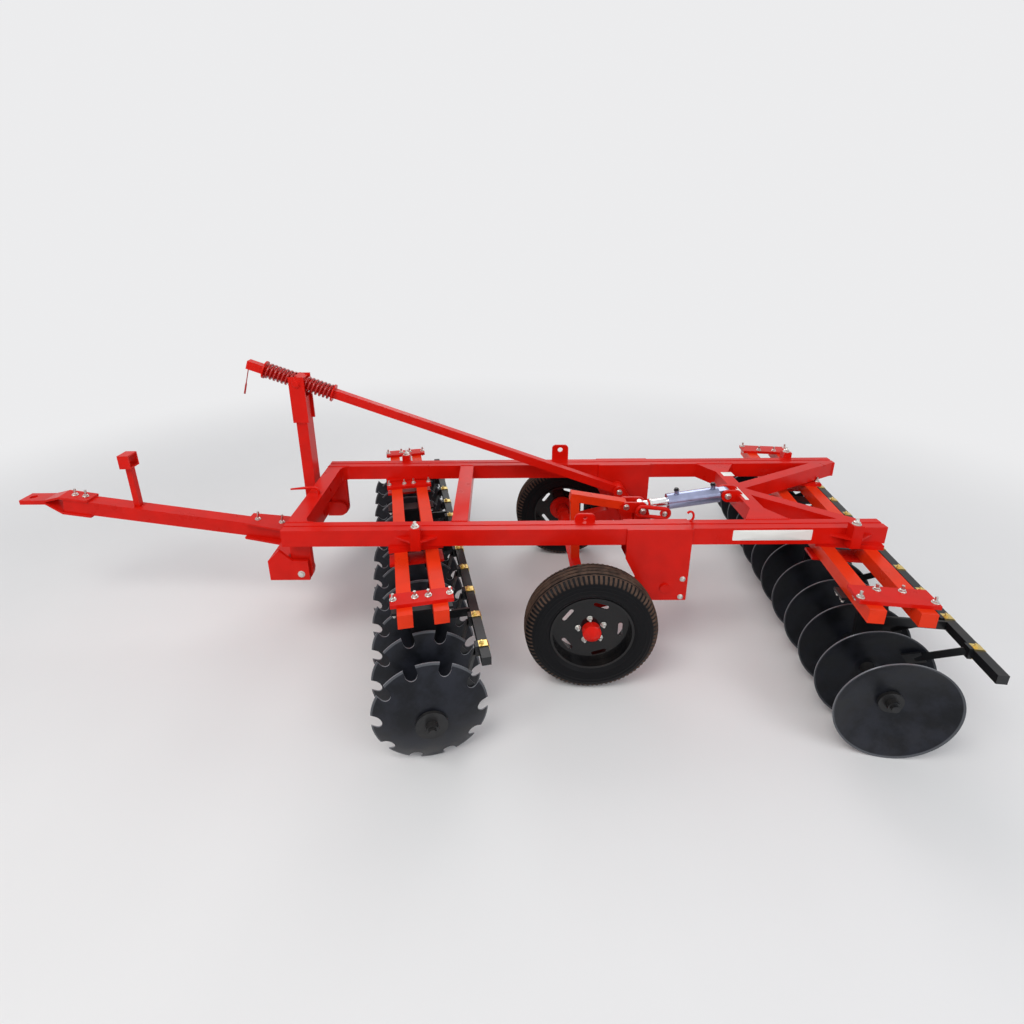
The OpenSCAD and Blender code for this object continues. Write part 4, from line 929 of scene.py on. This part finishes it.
def ring_bead(centre, radius, thick=0.005):
    """A bead round a shaft along Y, closed on itself."""
    angle = np.linspace(0, 2 * np.pi, ring_steps, endpoint=False)[:, None]
    path = np.asarray(centre, float) + radius * (np.cos(angle) * (1, 0, 0) + np.sin(angle) * (0, 0, 1))
    return sweep(path, thick * ripple(ring_steps), bead_section, closed=True)


cross_low, cross_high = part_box("front_crossbeam")
mid_low, mid_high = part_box("mid_crossmember")
flare_reach = 0.138
rear_cross_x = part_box("rear_crossmember")[1][0] - flare_reach
frame_beads = []
for k in both:
    y, outer_y = k * beam_in, k * beam_out
    top_runs = [(cross_low[0], cross_high[0]), (mid_low[0], mid_high[0])]
    top_runs += [(rear_cross_x - flare_reach, rear_cross_x + flare_reach)]
    seams = [(x, y) for x in (cross_low[0], mid_low[0], mid_high[0])]
    seams += [(x, outer_y) for x in (bracket_low[0], bracket_high[0])]
    frame_beads += [bead((first, y, frame_top), (last, y, frame_top)) for first, last in top_runs]
    frame_beads += [bead((*at, beam_bottom), (*at, frame_top)) for at in seams]
make_piece("frame_welds", join_shapes(frame_beads), "frame", "red_paint")
print("frame beads", len(frame_beads))

# %% [markdown]
# ## Welds on the drawbar and the lift
# The mast is welded to the drawbar all round its foot, the post along two sides, and the lever plates are
# welded to the round shaft. A seam on a shaft is a circle, so that bead closes on itself and needs no
# ends.

# %% Welds on the drawbar and the lift
mast_low, mast_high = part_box("mast")
left_x, near_y, mast_foot = mast_low
right_x, far_y = mast_high[:2]
corners = [(left_x, near_y), (right_x, near_y), (right_x, far_y), (left_x, far_y)]
drawbar_beads = [bead((*a, mast_foot), (*b, mast_foot)) for a, b in zip(corners, corners[1:] + corners[:1])]
drawbar_beads += [bead((left_x, y, fork_low[2]), (right_x, y, fork_low[2])) for y in (near_y, far_y)]
post_low, post_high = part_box("hose_post")
post_foot, post_half = on_drawbar((post_low[0] + post_high[0]) / 2, 0.050), 0.020
for k in both:
    post_side = post_foot + k * post_half * drawbar_way
    drawbar_beads.append(bead(post_side - post_half * right_way, post_side + post_half * right_way))
make_piece("drawbar_welds", join_shapes(drawbar_beads), "drawbar", "red_paint")
shaft_r, shaft_seams = 0.053, (lever_pin[1] - lever_face, lever_pin[1] + lever_face, 0.250, 0.350)
lift_beads = [ring_bead(lift_pin + y * right_way, shaft_r) for y in shaft_seams]
make_piece("lift_welds", join_shapes(lift_beads), "lift", "red_paint")
print("drawbar beads", len(drawbar_beads), "lift beads", len(lift_beads))

# %% [markdown]
# ## Hooks
# A bent hook stands on the near beam and a long one on the front crossbeam, for hanging things up. Each
# is a round bar that was bent hot. Arcs and straight runs give the path, and the radius may shrink
# towards the tip, which a plain Curve bevel gives less simply.

# %% Hooks
beam_hook = arc((1.492, -0.458, frame_top + 0.033), (0.022, 0, 0), (0, 0, 0.032), -85, 140, 24)
hook_bend = arc((-0.985, -0.045, frame_top + 0.015), (0.040, 0, 0), (0, 0, 0.036), -30, 90, 10)
hook_root, hook_tip = (-1.000, -0.045, frame_top + 0.052), (-1.140, -0.045, frame_top + 0.040)
long_hook = np.concatenate([hook_bend, np.linspace(hook_root, hook_tip, 10)])
taper = np.concatenate([np.full(12, 0.010), np.linspace(0.010, 0.006, 8)])
hooks = join_shapes([sweep(beam_hook, 0.007), sweep(long_hook, taper)])
make_piece("frame_hooks", hooks, "frame", "red_paint")
print("hooks with", len(hooks[1]), "faces")

# %% [markdown]
# ## Lock link
# A link of round bar hangs beside the lever and holds the lift up on the road. Its path is two half
# circles joined by straight runs. A closed path leaves no ends to cap. A turned boss with a bolt sits in
# its outer end.

# %% Lock link
link_y, link_bar, link_r = lever_pin[1] - lever_face - link_depth / 2, 0.014, 0.034
link_sag, boss_face = 0.010, 0.008
link_from = np.array([lever_pin[0], link_y, lever_pin[2] - link_sag])
link_to = np.array([1.446, link_y, 0.814])
link_way = (link_to - link_from) / np.linalg.norm(link_to - link_from)
link_up = np.cross(link_way, right_way)
link_path = np.concatenate([arc(link_to, link_r * link_up, link_r * link_way, 0, 180, 16),
                            arc(link_from, -link_r * link_up, -link_r * link_way, 0, 180, 16)])
boss_half = [(0, boss_face), (0.025, boss_face), (0.029, boss_face / 2)]
boss = turn_profile(boss_half + [(r, -z) for r, z in boss_half[::-1]], 28)
link = join_shapes([sweep(link_path, link_bar, closed=True), copies(boss, [place(link_to, -right_way)])])
make_piece("lock_link", link, "lift", "red_paint")
link_bolt = copies(hex_head(0.015, 0.012), [place(link_to - boss_face * right_way, -right_way, 0.3)])
make_piece("lock_link_bolt", link_bolt, "lift", "zinc")
print("link reaches", np.round(link_to, 3))

# %% [markdown]
# ## Fittings of the cylinder and the rod
# Two rings on the cylinder's rod set the working depth, plugs close its ports, and a thin pin hangs from
# the end of the levelling rod. Rings and plugs are turned profiles set along the cylinder's axis. The pin
# is a sweep with two radii, for its thin and its thick part.

# %% Stop rings, port plugs and the spare pin
def collar(inner_r, outer_r, width):
    """A ring with rounded edges: its outline runs from the bore over the rim and back to the bore."""
    edge = 0.2 * (outer_r - inner_r)
    return turn_profile([(inner_r, width), (outer_r - edge, width), (outer_r, width - edge),
                         (outer_r, edge), (outer_r - edge, 0), (inner_r, 0)], 40)


rod_r, stop_r = 0.030, 0.038
for name, start, width, slot in (("red", 0.054, 0.012, "red_paint"), ("bright", 0.067, 0.015, "zinc")):
    ring_place = place(lever_pin - start * cylinder_axis, -cylinder_axis)
    ring = copies(collar(rod_r - 0.001, stop_r, width), [ring_place])
    make_piece(name + "_stop_ring", ring, "lift_piston", slot)
port_runs, port_top = (0.080, 0.330), 0.077
ports = [base_pin + run * cylinder_axis + port_top * cylinder_above for run in port_runs]
plugs = copies(hex_head(0.015, 0.016), [place(port, cylinder_above) for port in ports])
make_piece("port_plugs", plugs, "lift_barrel", "black_steel")
nose_run, hang_way = 0.368, np.array([-0.065, 0.0, -0.215])
rod_nose = trunnion + nose_run * rod_axis
hang = np.linspace(rod_nose, rod_nose + hang_way, 14)
spare_pin = sweep(hang, np.repeat((0.0035, 0.0065), (9, 5)))
make_piece("spare_pin", spare_pin, "leveller", "spring_paint")
print("plugs", len(ports))

# %% [markdown]
# ## Labels
# A long plain label sits on the near beam and two small ones on the rear cross-member. A single flat face
# would flicker against the paint, so a label is a thin sheet with rounded corners and a rim that falls to
# the paint, where its outline catches the light.

# %% Labels
def sheet(centre, wide, tall, half_w, half_h, corner=0.006, thick=0.0012):
    """A flat outline of four rounded corners, lofted through three rings to its middle."""
    angle = np.radians(np.arange(4)[:, None] * 90 + np.linspace(0, 90, 6)[None, :])
    mid_w = np.array([1, -1, -1, 1])[:, None] * (half_w - corner) + 0 * angle
    mid_h = np.array([1, 1, -1, -1])[:, None] * (half_h - corner) + 0 * angle
    outline = np.stack([mid_w + corner * np.cos(angle), mid_h + corner * np.sin(angle)], axis=2)
    outline = outline.reshape(-1, 2)
    centre, wide, tall = (np.asarray(value, float) for value in (centre, wide, tall))
    scale, lift = np.array([0.0, 0.98, 1.0, 1.0]), np.array([thick, thick, 0.6 * thick, -0.0005])
    flat = scale[:, None, None] * outline[None]
    raised = lift[:, None, None] * np.cross(wide, tall)
    points = centre + flat[..., :1] * wide + flat[..., 1:] * tall + raised
    return points.reshape(-1, 3), grid_faces(4, len(outline), close_columns=True)


beam_label = sheet((1.966, -beam_out, 0.897), (1, 0, 0), (0, 0, 1), 0.239, 0.035)
strip_label = sheet((1.972, -0.075, frame_top), (1, 0, 0), (0, 1, 0), 0.012, 0.100)
far_label = sheet((2.006, 0.245, frame_top), (1, 0, 0), (0, 1, 0), 0.040, 0.034)
labels = join_shapes([beam_label, strip_label, far_label])
make_piece("blank_labels", labels, "frame", "label_white")
print("labels with", len(labels[1]), "faces")

# %% [markdown]
# ## Floor
# A pale floor runs back and curves up into a wall, so that no edge shows. A plain plane would end in a
# line. Far from the machine the camera sees the floor and the sky in one pale colour without shading,
# which keeps the backdrop even from every side.

# %% Floor
def seen_directly(tree):
    """1 for a ray from the camera, mirrored or let through on its way, 0 for the light on things."""
    path = add_node(tree, "ShaderNodeLightPath")
    mirrored = math_node(tree, "ADD", path.outputs["Is Camera Ray"], path.outputs["Is Glossy Ray"])
    return math_node(tree, "ADD", mirrored, path.outputs["Is Transmission Ray"], clamp=True)


backdrop = (0.84, 0.84, 0.85, 1)
floor_dark, floor_pale = (0.78, 0.78, 0.78, 1), (0.82, 0.82, 0.82, 1)
flat_depth, bend_r, wall_top, half_width, front_edge = 9.0, 5.0, 22.0, 40.0, -14.0
shade_from, shade_to = 3.2, 7.5
floor_drop = 0.0005


def floor_shape():
    """A strip that is flat behind the object, then rises on a quarter circle to a wall."""
    bend = np.linspace(0, math.pi / 2, 24)
    run = np.concatenate([[front_edge], flat_depth + bend_r * np.sin(bend), [flat_depth + bend_r]])
    rise = np.concatenate([[0.0], bend_r - bend_r * np.cos(bend), [wall_top]]) - floor_drop
    wide = np.array([-half_width, half_width])
    points = np.stack(np.broadcast_arrays(wide[None, :], run[:, None], rise[:, None]), axis=2)
    return points.reshape(-1, 3), grid_faces(len(run), 2)[:, ::-1]


def floor_finish():
    """Pale matt paint near the object, blended into the plain backdrop colour by the distance from it."""
    material, tree, shader = new_material("pale_floor", {"Roughness": 0.85})
    where = add_node(tree, "ShaderNodeTexCoord")
    noise = noise_node(tree, where, 1.2, 5.0)
    pale = mix_colour(tree, noise.outputs["Fac"], floor_dark, floor_pale)
    tree.links.new(pale, shader.inputs["Base Color"])
    away = add_node(tree, "ShaderNodeVectorMath", links={0: where.outputs["Object"]}, operation="LENGTH")
    distant = ramp(tree, away.outputs["Value"], shade_from, shade_to)
    far = math_node(tree, "MULTIPLY", seen_directly(tree), distant)
    glow = add_node(tree, "ShaderNodeEmission", {"Color": backdrop, "Strength": 1.0})
    blend = add_node(tree, "ShaderNodeMixShader", links={0: far, 1: shader.outputs[0], 2: glow.outputs[0]})
    tree.links.new(blend.outputs[0], tree.nodes["Material Output"].inputs["Surface"])
    return material


floor_points, floor_faces = floor_shape()
floor_mesh = bpy.data.meshes.new("floor")
floor_mesh.from_pydata(floor_points.tolist(), [], floor_faces.tolist())
floor_mesh.polygons.foreach_set("use_smooth", np.ones(len(floor_mesh.polygons), bool))
floor_mesh.materials.append(floor_finish())
floor = bpy.data.objects.new("floor", floor_mesh)
bpy.context.scene.collection.objects.link(floor)
print("floor with", len(floor_faces), "strips")

# %% [markdown]
# ## Light
# A broad lamp stands high on the left, a weaker one on the right and one behind, and the world fills the
# shadows. A sun lamp would be simpler, but its shadows are hard. Glossy paint needs broad lamps, because
# it mirrors them.

# %% Lamps and world
def lamp(name, at, towards, size, watts, colour=(1, 1, 1)):
    """A square area lamp at a point, turned towards another."""
    data = bpy.data.lights.new(name, "AREA")
    data.size = size
    data.energy = watts
    data.color = colour
    item = bpy.data.objects.new(name, data)
    item.location = at
    item.rotation_euler = (Vector(towards) - Vector(at)).to_track_quat("-Z", "Y").to_euler()
    bpy.context.scene.collection.objects.link(item)


lamp("key_lamp", (-3.0, -5.0, 8.0), (0, 0, 0.5), 5.0, 440, (1.0, 0.98, 0.95))
lamp("fill_lamp", (5.5, -5.0, 4.0), (0.5, 0, 0.5), 4.0, 130, (0.95, 0.97, 1.0))
lamp("back_lamp", (1.5, 6.0, 6.0), (0, 0, 0.5), 5.0, 170)
world = bpy.data.worlds.new("studio")
world.use_nodes = True
sky = world.node_tree
fill_light = sky.nodes["Background"]
fill_light.inputs["Color"].default_value = (0.93, 0.95, 1.0, 1.0)
fill_light.inputs["Strength"].default_value = 0.45
pale_sky = add_node(sky, "ShaderNodeBackground", {"Color": backdrop, "Strength": 1.0})
sky_pick = add_node(sky, "ShaderNodeMixShader",
                    links={0: seen_directly(sky), 1: fill_light.outputs[0], 2: pale_sky.outputs[0]})
sky.links.new(sky_pick.outputs[0], sky.nodes["World Output"].inputs["Surface"])
bpy.context.scene.world = world
bpy.context.scene.view_settings.view_transform = "Standard"
